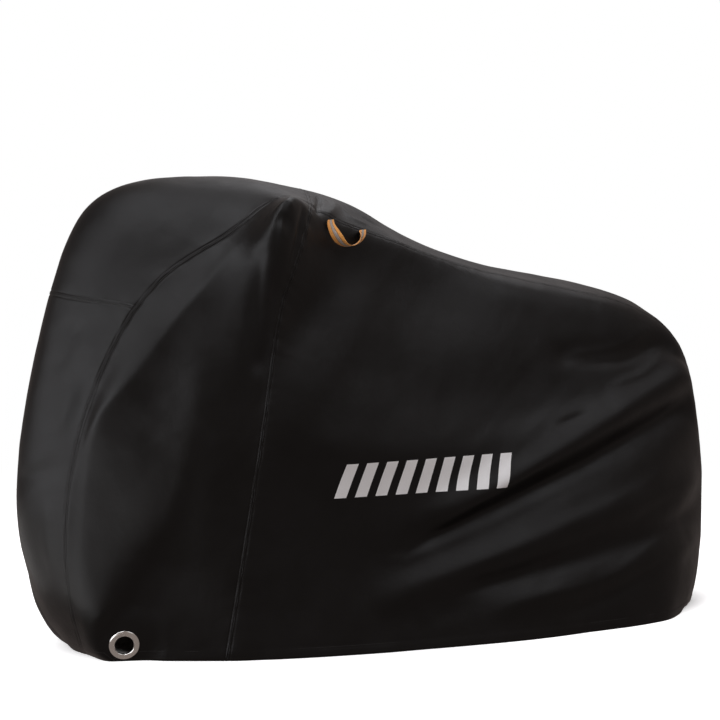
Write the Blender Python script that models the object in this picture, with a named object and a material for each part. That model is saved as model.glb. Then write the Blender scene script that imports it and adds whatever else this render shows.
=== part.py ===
"""Fitted cloth cover for a bicycle, hollow and open at the hem, as it hangs over the handlebar and saddle.

The cloth is one lofted surface. Its lengthwise parameter u runs over the cover from the front hem, up the
nose, over the crown and down to the rear hem. Its crosswise parameter v runs from the right hem over the
ridge (v = 0) to the left hem. Every panel is a rectangle of that surface, so neighbours share their seams.

Metres, +X towards the handlebar end, +Y to the cover's left, +Z up. The origin is under the crown, where
the handlebar carries the cover. The tables give heights above the floor that the hem reaches.
"""

from typing import NamedTuple

import bmesh
import bpy
import numpy as np
from mathutils import Matrix, Vector

# Driving dimensions, in metres
CLOTH = 0.002            # coated polyester with its seam allowance
SEAM_GAP = 0.0004        # between two panels along a seam
BAR_X = -0.020           # where the handlebar carries the crown, along the cover
CROWN_Z = 1.084          # top of the crown there, above the floor
EYELET_OUTER_R = 0.035
EYELET_HOLE_R = 0.022
EYELET_LIFT = 0.0005     # between the cloth and each half of the eyelet
BARREL_WALL = 0.0010
BARREL_CLEARANCE = 0.0006
LOCK_HOLE_R = EYELET_HOLE_R + BARREL_WALL + BARREL_CLEARANCE   # cut in the cloth, round the barrel
WASHER_INSET = 0.0015    # the inner half is this much smaller all round
WASHER_THICKNESS = 0.0010
PATCH_R = 0.043          # cloth round an eyelet
WEBBING_WIDTH = 0.025
WEBBING_THICKNESS = 0.0016
LOOP_STAND_OFF = 0.004   # how far the loop's lowest turn stands off the side
LOOP_CLEARANCE = 0.0006  # under its sewn ends

# Places on the surface
CROSS_U = 5.12           # seam across the nose, between the front gusset and the crown
JOINT_U = 8.60           # seam from hem to hem over the cover, just behind the handlebar
SEAM_V = 0.85            # seams along the gussets
HEM_V = 4.20
LINE_V = (0.0, 0.45, SEAM_V, 1.35, 2.10, 3.15, HEM_V)   # ridge, brow, seam, edge, flank, skirt, hem
EYELET_U, EYELET_V = 2.13, 3.72
LOOP_U = (9.06, 9.76)    # the loop's two ends, along the left gusset seam
LOOP_TOP_V, LOOP_DROP_V = 0.03, 0.42   # from the seam to its ends, and on to its lowest turn

# Steps of the mesh along u, in the three stretches that the cross seams part, and along v
FRONT_STEPS, CROWN_STEPS, REAR_STEPS = 12, 9, 38
GUSSET_STEPS, SIDE_STEPS = 8, 20
LOOP_STEPS, EYELET_STEPS, CUT_STEPS = 24, 24, 24
# How far a side's lines crowd towards the hem, at the front hem, the joint and the rear hem
CROWDING = (0.0, 0.65, -0.45)
SHARP_ANGLE = np.radians(40.0)
CUTTER_REACH = 0.03
TOLERANCE = 1e-6


class Section(NamedTuple):
    """One section across the cover: x and z on the ridge, then x, half width and z on each line below it.

    The hem has no z: it reaches the floor everywhere.
    """

    ridge_x: float
    ridge_z: float
    seam_x: float
    seam_half: float
    seam_z: float
    edge_x: float
    edge_half: float
    edge_z: float
    flank_x: float
    flank_half: float
    flank_z: float
    hem_x: float
    hem_half: float


SECTIONS = (
    #       ridge         seam                  edge                  flank                 hem
    # front hem
    Section(0.390, 0.000, 0.383, 0.050, 0.000, 0.376, 0.070, 0.000, 0.369, 0.090, 0.000, 0.359, 0.112),
    # low on the front wheel
    Section(0.455, 0.101, 0.436, 0.116, 0.096, 0.425, 0.146, 0.079, 0.400, 0.168, 0.056, 0.340, 0.150),
    # front of the wheel
    Section(0.514, 0.276, 0.460, 0.130, 0.261, 0.440, 0.168, 0.221, 0.398, 0.200, 0.151, 0.320, 0.168),
    # upper wheel
    Section(0.515, 0.456, 0.442, 0.132, 0.446, 0.425, 0.172, 0.411, 0.358, 0.225, 0.271, 0.295, 0.182),
    # over the mudguard
    Section(0.486, 0.626, 0.400, 0.145, 0.601, 0.388, 0.192, 0.568, 0.310, 0.254, 0.376, 0.270, 0.195),
    # nose seam
    Section(0.441, 0.806, 0.312, 0.165, 0.781, 0.285, 0.225, 0.696, 0.255, 0.282, 0.476, 0.240, 0.211),
    # brow
    Section(0.374, 0.981, 0.200, 0.190, 0.899, 0.190, 0.255, 0.806, 0.205, 0.302, 0.566, 0.210, 0.226),
    # front of the crown
    Section(0.240, 1.074, 0.085, 0.215, 0.971, 0.088, 0.288, 0.914, 0.140, 0.318, 0.626, 0.180, 0.241),
    # handlebar
    Section(BAR_X, CROWN_Z, -0.045, 0.215, 1.048, -0.015, 0.305, 1.030, 0.055, 0.330, 0.706, 0.150, 0.256),
    # behind the handlebar
    Section(-0.265, 1.034, -0.170, 0.195, 1.002, -0.135, 0.238, 0.936, -0.012, 0.318, 0.706, 0.105, 0.278),
    # stem
    Section(-0.380, 0.982, -0.310, 0.160, 0.951, -0.280, 0.190, 0.891, -0.120, 0.300, 0.666, 0.030, 0.300),
    # dip
    Section(-0.510, 0.918, -0.480, 0.135, 0.891, -0.445, 0.170, 0.834, -0.290, 0.285, 0.616, -0.120, 0.334),
    # before the saddle
    Section(-0.695, 0.861, -0.680, 0.120, 0.838, -0.640, 0.175, 0.791, -0.505, 0.275, 0.566, -0.330, 0.358),
    # saddle
    Section(-0.900, 0.821, -0.890, 0.120, 0.794, -0.860, 0.170, 0.746, -0.745, 0.262, 0.526, -0.590, 0.372),
    # carrier
    Section(-1.070, 0.776, -1.055, 0.120, 0.750, -1.020, 0.170, 0.696, -0.925, 0.250, 0.476, -0.790, 0.358),
    # rear shoulder
    Section(-1.200, 0.681, -1.182, 0.120, 0.661, -1.145, 0.165, 0.606, -1.055, 0.235, 0.406, -0.930, 0.342),
    # rear wheel
    Section(-1.258, 0.506, -1.238, 0.120, 0.491, -1.208, 0.160, 0.446, -1.135, 0.220, 0.306, -1.025, 0.318),
    # rear hub height
    Section(-1.277, 0.306, -1.260, 0.118, 0.296, -1.235, 0.152, 0.266, -1.175, 0.208, 0.181, -1.078, 0.284),
    # low at the rear
    Section(-1.274, 0.116, -1.257, 0.108, 0.111, -1.240, 0.142, 0.101, -1.198, 0.186, 0.076, -1.120, 0.244),
    # rear hem
    Section(-1.256, 0.000, -1.247, 0.086, 0.000, -1.233, 0.116, 0.000, -1.203, 0.150, 0.000, -1.152, 0.196),
)
REAR_U = len(SECTIONS) - 1.0


class Fold(NamedTuple):
    """One soft fold on a side, seen square to that side: a line that may bow, its half width and its height.

    A height above 0 is a ridge and below 0 a trough. side is 1 on the left and -1 on the right.
    """

    side: int
    start_x: float
    start_z: float
    end_x: float
    end_z: float
    bow: float
    width: float
    height: float


FOLDS = (
    Fold(1, -0.750, 0.652, -1.190, 0.664, 0.000, 0.026, -0.011),
    Fold(1, -0.020, 0.500, -1.030, 0.575, -0.080, 0.055, 0.009),
    Fold(1, -0.330, 0.274, -1.230, 0.607, 0.000, 0.042, 0.018),
    Fold(1, -0.280, 0.236, -1.230, 0.517, 0.000, 0.034, -0.022),
    Fold(1, -0.190, 0.095, -1.260, 0.340, 0.022, 0.042, 0.014),
    Fold(1, -0.420, 0.128, -1.240, 0.250, 0.000, 0.028, -0.010),
    Fold(1, -0.480, 0.070, -1.240, 0.186, 0.000, 0.030, 0.007),
    Fold(1, 0.075, 0.956, 0.060, 0.646, 0.000, 0.026, -0.008),
    Fold(-1, -0.060, 0.566, -0.980, 0.606, -0.050, 0.050, 0.011),
    Fold(-1, -0.140, 0.246, -1.120, 0.566, 0.030, 0.026, -0.016),
    Fold(-1, -0.200, 0.176, -1.220, 0.476, 0.000, 0.028, 0.011),
    Fold(-1, -0.480, 0.086, -1.240, 0.336, 0.000, 0.024, -0.010),
    Fold(-1, 0.070, 0.936, 0.080, 0.566, 0.000, 0.026, -0.013),
)
FOLD_FADE = 0.50         # v from a gusset seam to where the folds reach their height
FOLD_FULL = 0.38         # share of a fold's length, each way from its middle, that keeps its height
FOLD_TAPER = 0.09        # and over which its ends then die away
BROW_SHARE = 0.55        # how far from the ridge to the seam the brow line lies
BROW_CURVE = 1.60        # power of the fall from ridge to seam: 1 is a tent, 2 a round vault
SKIRT_SWELL = 0.12       # share of the flank-to-hem widening that the skirt already has
FLAT_R, FADE_R = 0.050, 0.100   # the cloth lies flat this near an eyelet, and is free beyond

# The eyelet's domed outer half, from hole to rim: distance from the hole's edge, height off the cloth
EYELET_DOME = (
    (0.0000, 0.0018),
    (0.0025, 0.0032),
    (0.0065, 0.0038),
    (0.0110, 0.0028),
    (0.0130, 0.0012),
)
TWIST_EASE = 1.5         # how late the loop's webbing turns from flat at its ends to edge-on at the bottom

DARK_CLOTH = (0.012, 0.011, 0.012, 1.0)
NICKEL = (0.72, 0.72, 0.70, 1.0)
WEBBING = (0.62, 0.20, 0.05, 1.0)


def unit(vectors):
    """Vectors along the last axis, at length 1."""
    return vectors / np.linalg.norm(vectors, axis=-1, keepdims=True)


def smooth_step(t):
    """0 below 0, 1 above 1, with no slope at either end."""
    t = np.clip(t, 0.0, 1.0)
    return t * t * (3.0 - 2.0 * t)


def spline_weights(knots, t):
    """Weight of each knot's value, for each t, on the natural cubic spline through them."""
    knots = np.asarray(knots, float)
    count = len(knots)
    step = np.diff(knots)
    bends, slopes = np.eye(count), np.zeros((count, count))
    for i in range(1, count - 1):
        bends[i, i - 1:i + 2] = step[i - 1], 2.0 * (step[i - 1] + step[i]), step[i]
        slopes[i, i - 1:i + 2] = 6.0 / step[i - 1], -6.0 / step[i - 1] - 6.0 / step[i], 6.0 / step[i]
    second = np.linalg.solve(bends, slopes)
    t = np.asarray(t, float)
    cell = np.clip(np.searchsorted(knots, t, side="right") - 1, 0, count - 2)
    low = (knots[cell + 1] - t) / step[cell]
    high = 1.0 - low
    own = np.eye(count)
    low, high = low[:, None], high[:, None]
    bend = (low**3 - low) * second[cell] + (high**3 - high) * second[cell + 1]
    return low * own[cell] + high * own[cell + 1] + bend * (step[cell] ** 2)[:, None] / 6.0


def control_net():
    """The sections' points from the right hem over the ridge to the left hem, in the part's own frame."""
    rows = []
    for s in SECTIONS:
        flank = np.array((s.flank_x, s.flank_half, s.flank_z))
        hem = np.array((s.hem_x, s.hem_half, 0.0))
        skirt = (flank + hem) / 2.0
        skirt[1] += SKIRT_SWELL * (hem[1] - flank[1])
        ridge = np.array((s.ridge_x, 0.0, s.ridge_z))
        seam = np.array((s.seam_x, s.seam_half, s.seam_z))
        brow = ridge + (seam - ridge) * BROW_SHARE ** np.array((BROW_CURVE, 1.0, BROW_CURVE))
        left = np.array((
            ridge, brow, seam,
            (s.edge_x, s.edge_half, s.edge_z),
            flank, skirt, hem,
        ))
        rows.append(np.vstack((left[:0:-1] * (1.0, -1.0, 1.0), left)))
    return np.array(rows) - (BAR_X, 0.0, CROWN_Z - CLOTH)


NET = control_net()
NET_V = np.concatenate((-np.array(LINE_V[:0:-1]), LINE_V))
FLOOR = -(CROWN_Z - CLOTH)


def draped(u, v):
    """The surface without its folds. v holds one row for all of u, or a row for each."""
    along = spline_weights(np.arange(len(SECTIONS)), u)
    across = spline_weights(NET_V, np.ravel(v)).reshape(*np.shape(v), len(NET_V))
    return np.einsum("ui,ijk,vj->uvk" if np.ndim(v) == 1 else "ui,ijk,uvj->uvk", along, NET, across)


def normals_of(shape, u, v):
    """Outward unit normals of a surface function, from small steps each way."""
    e = 0.001
    along = shape(u + e, v) - shape(u - e, v)
    across = shape(u, v + e) - shape(u, v - e)
    return unit(np.cross(across, along))


def fold_height(points, side):
    """Height of one side's folds at each point: a bell across each fold's line, dying away at its ends."""
    height = np.zeros(points.shape[:-1])
    for fold in FOLDS:
        if fold.side != side:
            continue
        start = np.array((fold.start_x - BAR_X, fold.start_z + FLOOR))
        end = np.array((fold.end_x - BAR_X, fold.end_z + FLOOR))
        length = np.linalg.norm(end - start)
        along = (end - start) / length
        above = np.array((along[1], -along[0]))
        offset = points[..., (0, 2)] - start
        share = offset @ along / length
        inside = np.clip(share, 0.0, 1.0)
        distance = offset @ above - 4.0 * fold.bow * inside * (1.0 - inside)
        past_end = np.clip(np.abs(share - 0.5) - FOLD_FULL, 0.0, None) / FOLD_TAPER
        height += fold.height * np.exp(-(distance / fold.width) ** 2 - past_end**2)
    return height


def folded(u, v):
    """The draped surface with each side's folds raised along its normals."""
    points = draped(u, v)
    fade = smooth_step((np.abs(v) - SEAM_V) / FOLD_FADE)
    height = np.where(v > 0.0, fold_height(points, 1), fold_height(points, -1)) * fade
    return points + normals_of(draped, u, v) * height[..., None]


def eyelet_frame(side):
    """Centre and outward unit normal of the cloth at an eyelet, side 1 on the left and -1 on the right."""
    u, v = np.array((EYELET_U,)), np.array((side * EYELET_V,))
    return folded(u, v)[0, 0], normals_of(folded, u, v)[0, 0]


EYELETS = {side: eyelet_frame(side) for side in (1, -1)}


def cover(u, v):
    """The finished outer surface: folded cloth, moved level onto a plane round each eyelet."""
    points = folded(u, v)
    for centre, normal in EYELETS.values():
        offset = points - centre
        height = offset @ normal
        reach = np.linalg.norm(offset - height[..., None] * normal, axis=-1)
        near = np.abs(height) < FADE_R
        flatness = near * smooth_step((FADE_R - reach) / (FADE_R - FLAT_R))
        level = normal * (1.0, 1.0, 0.0) / (1.0 - normal[2] ** 2)
        points = points - (flatness * height)[..., None] * level
    return points


def spread(*stops):
    """Parameters from the first stop to the last, given as value, steps, value, steps, value and so on."""
    runs = [np.linspace(stops[i], stops[i + 2], stops[i + 1] + 1)[:-1] for i in range(0, len(stops) - 2, 2)]
    return np.concatenate((*runs, stops[-1:]))


def mesh_lines(u):
    """v of the mesh's lines at each u, from hem to hem. A side's lines fan out to the rear with its folds."""
    share = np.linspace(0.0, 1.0, SIDE_STEPS + 1)
    crowd = np.interp(u, (0.0, JOINT_U, REAR_U), CROWDING)[:, None]
    side = SEAM_V + (HEM_V - SEAM_V) * (share + crowd * share * (1.0 - share))
    gusset = np.tile(np.linspace(-SEAM_V, SEAM_V, GUSSET_STEPS + 1)[1:-1], (len(u), 1))
    return np.hstack((-side[:, ::-1], gusset, side))


ALL_U = spread(0.0, FRONT_STEPS, CROSS_U, CROWN_STEPS, JOINT_U, REAR_STEPS, REAR_U)
ALL_V = mesh_lines(ALL_U)
OUTER = cover(ALL_U, ALL_V)
NORMALS = normals_of(cover, ALL_U, ALL_V)


def finish(name, color, roughness, metallic=0.0):
    """A named Principled material."""
    material = bpy.data.materials.new(name)
    material.use_nodes = True
    shader = material.node_tree.nodes["Principled BSDF"]
    shader.inputs["Base Color"].default_value = color
    shader.inputs["Roughness"].default_value = roughness
    shader.inputs["Metallic"].default_value = metallic
    return material


def add_object(name, points, faces, material):
    """An object of the given points and faces, at the scene's origin, shaded smooth up to sharp rims."""
    mesh = bpy.data.meshes.new(name)
    mesh.from_pydata([tuple(p) for p in points], [], faces)
    mesh.update()
    mesh.shade_smooth()
    mesh.set_sharp_from_angle(angle=SHARP_ANGLE)
    if material:
        mesh.materials.append(material)
    thing = bpy.data.objects.new(name, mesh)
    bpy.context.scene.collection.objects.link(thing)
    return thing


def parted(grid, outer):
    """A panel's grid with each edge moved half the seam gap inwards along the cloth, square to the edge."""
    grid = grid.copy()
    for axis in (0, 1):
        for edge, neighbour in ((0, 1), (-1, -2)):
            seam = np.take(outer, edge, axis)
            tangent = unit(np.gradient(seam, axis=0))
            inward = np.take(outer, neighbour, axis) - seam
            inward -= tangent * np.sum(inward * tangent, -1, keepdims=True)
            inward = unit(inward) * SEAM_GAP / 2.0
            rows = [slice(None), slice(None)]
            rows[axis] = edge
            grid[tuple(rows)] += inward
    return grid


def within(values, limits):
    """Indices of the values from the lower limit to the upper."""
    return np.flatnonzero((values >= limits[0] - TOLERANCE) & (values <= limits[1] + TOLERANCE))


def panel(name, u_range, v_range, material):
    """One cloth panel between two u seams and two v seams: an outer and an inner layer and the rim between.

    Each square of the mesh is parted along the diagonal that runs with the folds, up towards the rear.
    """
    rows = within(ALL_U, u_range)
    columns = within(ALL_V[0], v_range)
    outer = OUTER[np.ix_(rows, columns)]
    inner = outer - CLOTH * NORMALS[np.ix_(rows, columns)]
    layers = (parted(outer, outer), parted(inner, outer))
    high, wide = outer.shape[:2]
    index = np.arange(high * wide).reshape(high, wide)
    under = high * wide
    faces = []
    for i in range(high - 1):
        for j in range(wide - 1):
            square = [index[i, j], index[i, j + 1], index[i + 1, j + 1], index[i + 1, j]]
            a, b, c, d = square if v_range[0] < 0.0 else square[1:] + square[:1]
            faces += [(a, b, c), (a, c, d)]
            faces += [(a + under, c + under, b + under), (a + under, d + under, c + under)]
    rim = [*index[0, :], *index[1:, -1], *index[-1, -2::-1], *index[-2:0:-1, 0]]
    for a, b in zip(rim, rim[1:] + rim[:1]):
        if a < b:
            faces += [(b, a, a + under), (b, a + under, b + under)]
        else:
            faces += [(b, a, b + under), (a, a + under, b + under)]
    faces = [tuple(int(i) for i in face) for face in faces]
    return add_object(name, np.concatenate([layer.reshape(-1, 3) for layer in layers]), faces, material)


def cutter(name, side, radius):
    """A hidden cylinder through an eyelet, square to the cloth there."""
    mesh = bpy.data.meshes.new(name)
    shape = bmesh.new()
    bmesh.ops.create_cone(
        shape, cap_ends=True, segments=CUT_STEPS, radius1=radius, radius2=radius, depth=2.0 * CUTTER_REACH
    )
    shape.to_mesh(mesh)
    shape.free()
    thing = bpy.data.objects.new(name, mesh)
    bpy.context.scene.collection.objects.link(thing)
    thing.matrix_world = eyelet_matrix(side)
    thing.hide_render = True
    thing.display_type = "WIRE"
    return thing


def eyelet_matrix(side):
    """The frame of an eyelet: its Z along the cloth's outward normal, its origin on the outer surface."""
    centre, normal = EYELETS[side]
    turn = Vector(normal.tolist()).to_track_quat("Z", "Y").to_matrix().to_4x4()
    return Matrix.Translation(centre.tolist()) @ turn


def cut(thing, tool, operation):
    """Adds an exact Boolean to an object."""
    boolean = thing.modifiers.new(f"{operation.lower()} {tool.name}", "BOOLEAN")
    boolean.object = tool
    boolean.operation = operation
    boolean.solver = "EXACT"


def eyelet_ring(name, side, material):
    """A two-part metal eyelet turned about its axis: domed flange outside, barrel and flat washer inside."""
    back = -CLOTH - EYELET_LIFT
    washer_r = EYELET_OUTER_R - WASHER_INSET
    profile = (
        (EYELET_HOLE_R, back - WASHER_THICKNESS),
        *((EYELET_HOLE_R + out, height) for out, height in EYELET_DOME),
        (EYELET_OUTER_R, EYELET_LIFT),
        (EYELET_HOLE_R + BARREL_WALL, EYELET_LIFT),
        (EYELET_HOLE_R + BARREL_WALL, back),
        (washer_r, back),
        (washer_r, back - WASHER_THICKNESS),
    )
    segments = EYELET_STEPS
    turns = np.arange(segments) * 2.0 * np.pi / segments
    radius, height = np.array(profile).T
    ring = np.stack((
        np.outer(np.cos(turns), radius),
        np.outer(np.sin(turns), radius),
        np.tile(height, (segments, 1)),
    ), -1)
    count = len(profile)
    faces = [
        (i * count + j, i * count + (j + 1) % count,
         (i + 1) % segments * count + (j + 1) % count, (i + 1) % segments * count + j)
        for i in range(segments) for j in range(count)
    ]
    thing = add_object(name, ring.reshape(-1, 3), faces, material)
    recalculate(thing)
    thing.matrix_world = eyelet_matrix(side)
    return thing


def recalculate(thing):
    """Points a closed mesh's faces outwards."""
    shape = bmesh.new()
    shape.from_mesh(thing.data)
    bmesh.ops.recalc_face_normals(shape, faces=shape.faces)
    shape.to_mesh(thing.data)
    shape.free()


def webbing_loop(name, material):
    """A loop of webbing, both ends sewn flat below the left gusset seam, twisted edge-on at its lowest turn.

    Its middle line is half an ellipse drawn on the cloth, lifted off it by the stand-off.
    """
    middle_u, half_u = sum(LOOP_U) / 2.0, (LOOP_U[1] - LOOP_U[0]) / 2.0
    turns = np.linspace(0.0, np.pi, LOOP_STEPS + 1)
    twist = np.pi / 2.0 * np.sin(turns) ** TWIST_EASE
    lift = WEBBING_THICKNESS / 2.0 + LOOP_CLEARANCE + WEBBING_WIDTH / 2.0 * np.sin(twist)
    lift += LOOP_STAND_OFF * np.sin(turns) ** 2
    under, normal = [], []
    for turn in turns:
        u = np.array((middle_u - half_u * np.cos(turn),))
        v = np.array((SEAM_V + LOOP_TOP_V + LOOP_DROP_V * np.sin(turn),))
        under.append(cover(u, v)[0, 0])
        normal.append(normals_of(cover, u, v)[0, 0])
    under, normal = np.array(under), np.array(normal)
    middle = under + normal * lift[:, None]
    travel = unit(np.gradient(middle, axis=0))
    inner = unit(np.cross(normal, travel))
    if inner[LOOP_STEPS // 2] @ (middle[0] - middle[LOOP_STEPS // 2]) < 0.0:
        inner = -inner
    across = unit(np.cos(twist)[:, None] * inner + np.sin(twist)[:, None] * normal)
    face = np.cross(travel, across)
    corners = [
        middle + a * across * WEBBING_WIDTH / 2.0 + b * face * WEBBING_THICKNESS / 2.0
        for a, b in ((-1, -1), (1, -1), (1, 1), (-1, 1))
    ]
    points = np.stack(corners, 1).reshape(-1, 3)
    faces = [(0, 1, 2, 3), tuple(4 * LOOP_STEPS + i for i in (3, 2, 1, 0))]
    for i in range(LOOP_STEPS):
        for j in range(4):
            k = (j + 1) % 4
            faces += [(4 * i + j, 4 * i + k, 4 * i + 4 + k), (4 * i + j, 4 * i + 4 + k, 4 * i + 4 + j)]
    thing = add_object(name, points, faces, material)
    recalculate(thing)
    return thing


def build():
    """Clears the scene and makes every piece of the cover."""
    for old in list(bpy.data.objects):
        bpy.data.objects.remove(old, do_unlink=True)
    cloth = finish("cover cloth", DARK_CLOTH, 0.55)
    metal = finish("eyelet metal", NICKEL, 0.22, 1.0)
    strap = finish("webbing", WEBBING, 0.80)
    panel("front_gusset", (0.0, CROSS_U), (-SEAM_V, SEAM_V), cloth)
    panel("crown_gusset", (CROSS_U, JOINT_U), (-SEAM_V, SEAM_V), cloth)
    panel("back_gusset", (JOINT_U, REAR_U), (-SEAM_V, SEAM_V), cloth)
    for word, side in (("left", 1), ("right", -1)):
        v_range = tuple(sorted((side * SEAM_V, side * HEM_V)))
        front = panel(f"side_front_{word}", (0.0, JOINT_U), v_range, cloth)
        panel(f"side_rear_{word}", (JOINT_U, REAR_U), v_range, cloth)
        patch = panel(f"eyelet_patch_{word}", (0.0, JOINT_U), v_range, cloth)
        cut(front, cutter(f"patch_clearance_{word}", side, PATCH_R + SEAM_GAP), "DIFFERENCE")
        cut(patch, cutter(f"patch_outline_{word}", side, PATCH_R), "INTERSECT")
        cut(patch, cutter(f"lock_hole_{word}", side, LOCK_HOLE_R), "DIFFERENCE")
        eyelet_ring(f"eyelet_{word}", side, metal)
    webbing_loop("webbing_loop", strap)


build()
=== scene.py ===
"""Studio scene of a fitted bicycle cover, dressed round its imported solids.

The cover's cloth is one surface of two parameters, the same that the solids are cut from. u runs over the
cover from the front hem, up the nose, over the crown and down to the rear hem. v runs across it, from the
right hem over the ridge, where v is 0, to the left hem. Every panel is a patch of that surface with seams,
puckers, creases and a stitched hem raised on it.

Metres, +X towards the handlebar, +Y to the cover's left, +Z up, and the origin under the crown.
"""

import logging
from dataclasses import dataclass, field
from enum import Enum
from functools import cached_property
from typing import NamedTuple, Sequence

import bpy
import numpy as np
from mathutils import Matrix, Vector
from numpy.typing import NDArray

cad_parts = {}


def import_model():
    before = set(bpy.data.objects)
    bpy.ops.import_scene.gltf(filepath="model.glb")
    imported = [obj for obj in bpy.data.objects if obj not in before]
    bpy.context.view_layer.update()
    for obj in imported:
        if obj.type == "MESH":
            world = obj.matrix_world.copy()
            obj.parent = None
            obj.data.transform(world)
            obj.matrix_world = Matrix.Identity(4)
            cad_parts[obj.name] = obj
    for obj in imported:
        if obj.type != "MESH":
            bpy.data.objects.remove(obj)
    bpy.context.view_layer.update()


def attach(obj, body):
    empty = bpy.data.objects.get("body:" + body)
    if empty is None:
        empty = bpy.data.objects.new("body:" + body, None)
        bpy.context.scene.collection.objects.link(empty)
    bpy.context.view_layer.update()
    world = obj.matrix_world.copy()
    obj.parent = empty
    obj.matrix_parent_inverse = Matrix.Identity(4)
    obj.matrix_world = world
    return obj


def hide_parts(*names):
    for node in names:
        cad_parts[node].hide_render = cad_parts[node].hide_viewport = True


Array = NDArray[np.float64]
Triple = tuple[float, float, float]
Socket = bpy.types.NodeSocket
LOG = logging.getLogger("bicycle_cover")

# whole numbers that scramble a lattice point's place into its random value
LATTICE_AXES = (73856093, 19349663, 83492791)
LATTICE_SEED = 2654435761
LATTICE_MIX = 1274126177

BELL_ROUNDING = 0.007
WHITE: Triple = (1.0, 1.0, 1.0)
COOL_WHITE: Triple = (0.97, 0.99, 1.04)
COVER_MIDDLE: Triple = (-0.3, 0.0, -0.5)


class Side(Enum):
    """The two sides of the cover, by the sign of their v."""

    LEFT = 1
    RIGHT = -1


class Section(NamedTuple):
    """One section across the cover: x and z on the ridge, then x, half width and z on each line below it."""

    ridge_x: float
    ridge_z: float
    seam_x: float
    seam_half: float
    seam_z: float
    edge_x: float
    edge_half: float
    edge_z: float
    flank_x: float
    flank_half: float
    flank_z: float
    hem_x: float
    hem_half: float


class Fold(NamedTuple):
    """A fold of the solids, seen square to its side: a line that may bow, its half width and its height."""

    side: Side
    start_x: float
    start_z: float
    end_x: float
    end_z: float
    bow: float
    width: float
    height: float


class Crease(NamedTuple):
    """A fine crease along places (u, v) of the surface. Its height is above 0 on a ridge and below on a trough.

    blunt is the power of its bell: 1 has a sharp crest and 2 a round one. ends is the share of its length
    over which each end dies away.
    """

    path: tuple[tuple[float, float], ...]
    width: float
    height: float
    blunt: float = 2.0
    ends: float = 0.30


class Brink(NamedTuple):
    """A crisp line along places (u, v), past which, towards larger v, the cloth falls away and slowly comes back.

    reach is how far past the line the cloth lies deepest, and depth is how deep. ends is the share of its length
    over which each end dies away.
    """

    path: tuple[tuple[float, float], ...]
    reach: float
    depth: float
    ends: float


class PleatStation(NamedTuple):
    """Where the fold lines of the left fan cross one u: their v, from the top of the widest fold downwards."""

    u: float
    top: float
    first_crest: float
    first_valley: float
    second_crest: float
    second_valley: float
    third_crest: float
    third_valley: float


SECTIONS: tuple[Section, ...] = (
    #       ridge         seam                  edge                  flank                 hem
    # front hem
    Section(0.390, 0.000, 0.383, 0.050, 0.000, 0.376, 0.070, 0.000, 0.369, 0.090, 0.000, 0.359, 0.112),
    # low on the front wheel
    Section(0.455, 0.101, 0.436, 0.116, 0.096, 0.425, 0.146, 0.079, 0.400, 0.168, 0.056, 0.340, 0.150),
    # front of the wheel
    Section(0.514, 0.276, 0.460, 0.130, 0.261, 0.440, 0.168, 0.221, 0.398, 0.200, 0.151, 0.320, 0.168),
    # upper wheel
    Section(0.515, 0.456, 0.442, 0.132, 0.446, 0.425, 0.172, 0.411, 0.358, 0.225, 0.271, 0.295, 0.182),
    # over the mudguard
    Section(0.486, 0.626, 0.400, 0.145, 0.601, 0.388, 0.192, 0.568, 0.310, 0.254, 0.376, 0.270, 0.195),
    # nose seam
    Section(0.441, 0.806, 0.312, 0.165, 0.781, 0.285, 0.225, 0.696, 0.255, 0.282, 0.476, 0.240, 0.211),
    # brow
    Section(0.374, 0.981, 0.200, 0.190, 0.899, 0.190, 0.255, 0.806, 0.205, 0.302, 0.566, 0.210, 0.226),
    # front of the crown
    Section(0.240, 1.074, 0.085, 0.215, 0.971, 0.088, 0.288, 0.914, 0.140, 0.318, 0.626, 0.180, 0.241),
    # handlebar
    Section(-0.020, 1.084, -0.045, 0.215, 1.048, -0.015, 0.305, 1.030, 0.055, 0.330, 0.706, 0.150, 0.256),
    # behind the handlebar
    Section(-0.265, 1.034, -0.170, 0.195, 1.002, -0.135, 0.238, 0.936, -0.012, 0.318, 0.706, 0.105, 0.278),
    # stem
    Section(-0.380, 0.982, -0.310, 0.160, 0.951, -0.280, 0.190, 0.891, -0.120, 0.300, 0.666, 0.030, 0.300),
    # dip
    Section(-0.510, 0.918, -0.480, 0.135, 0.891, -0.445, 0.170, 0.834, -0.290, 0.285, 0.616, -0.120, 0.334),
    # before the saddle
    Section(-0.695, 0.861, -0.680, 0.120, 0.838, -0.640, 0.175, 0.791, -0.505, 0.275, 0.566, -0.330, 0.358),
    # saddle
    Section(-0.900, 0.821, -0.890, 0.120, 0.794, -0.860, 0.170, 0.746, -0.745, 0.262, 0.526, -0.590, 0.372),
    # carrier
    Section(-1.070, 0.776, -1.055, 0.120, 0.750, -1.020, 0.170, 0.696, -0.925, 0.250, 0.476, -0.790, 0.358),
    # rear shoulder
    Section(-1.200, 0.681, -1.182, 0.120, 0.661, -1.145, 0.165, 0.606, -1.055, 0.235, 0.406, -0.930, 0.342),
    # rear wheel
    Section(-1.258, 0.506, -1.238, 0.120, 0.491, -1.208, 0.160, 0.446, -1.135, 0.220, 0.306, -1.025, 0.318),
    # rear hub height
    Section(-1.277, 0.306, -1.260, 0.118, 0.296, -1.235, 0.152, 0.266, -1.175, 0.208, 0.181, -1.078, 0.284),
    # low at the rear
    Section(-1.274, 0.116, -1.257, 0.108, 0.111, -1.240, 0.142, 0.101, -1.198, 0.186, 0.076, -1.120, 0.244),
    # rear hem
    Section(-1.256, 0.000, -1.247, 0.086, 0.000, -1.233, 0.116, 0.000, -1.203, 0.150, 0.000, -1.152, 0.196),
)

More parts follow.
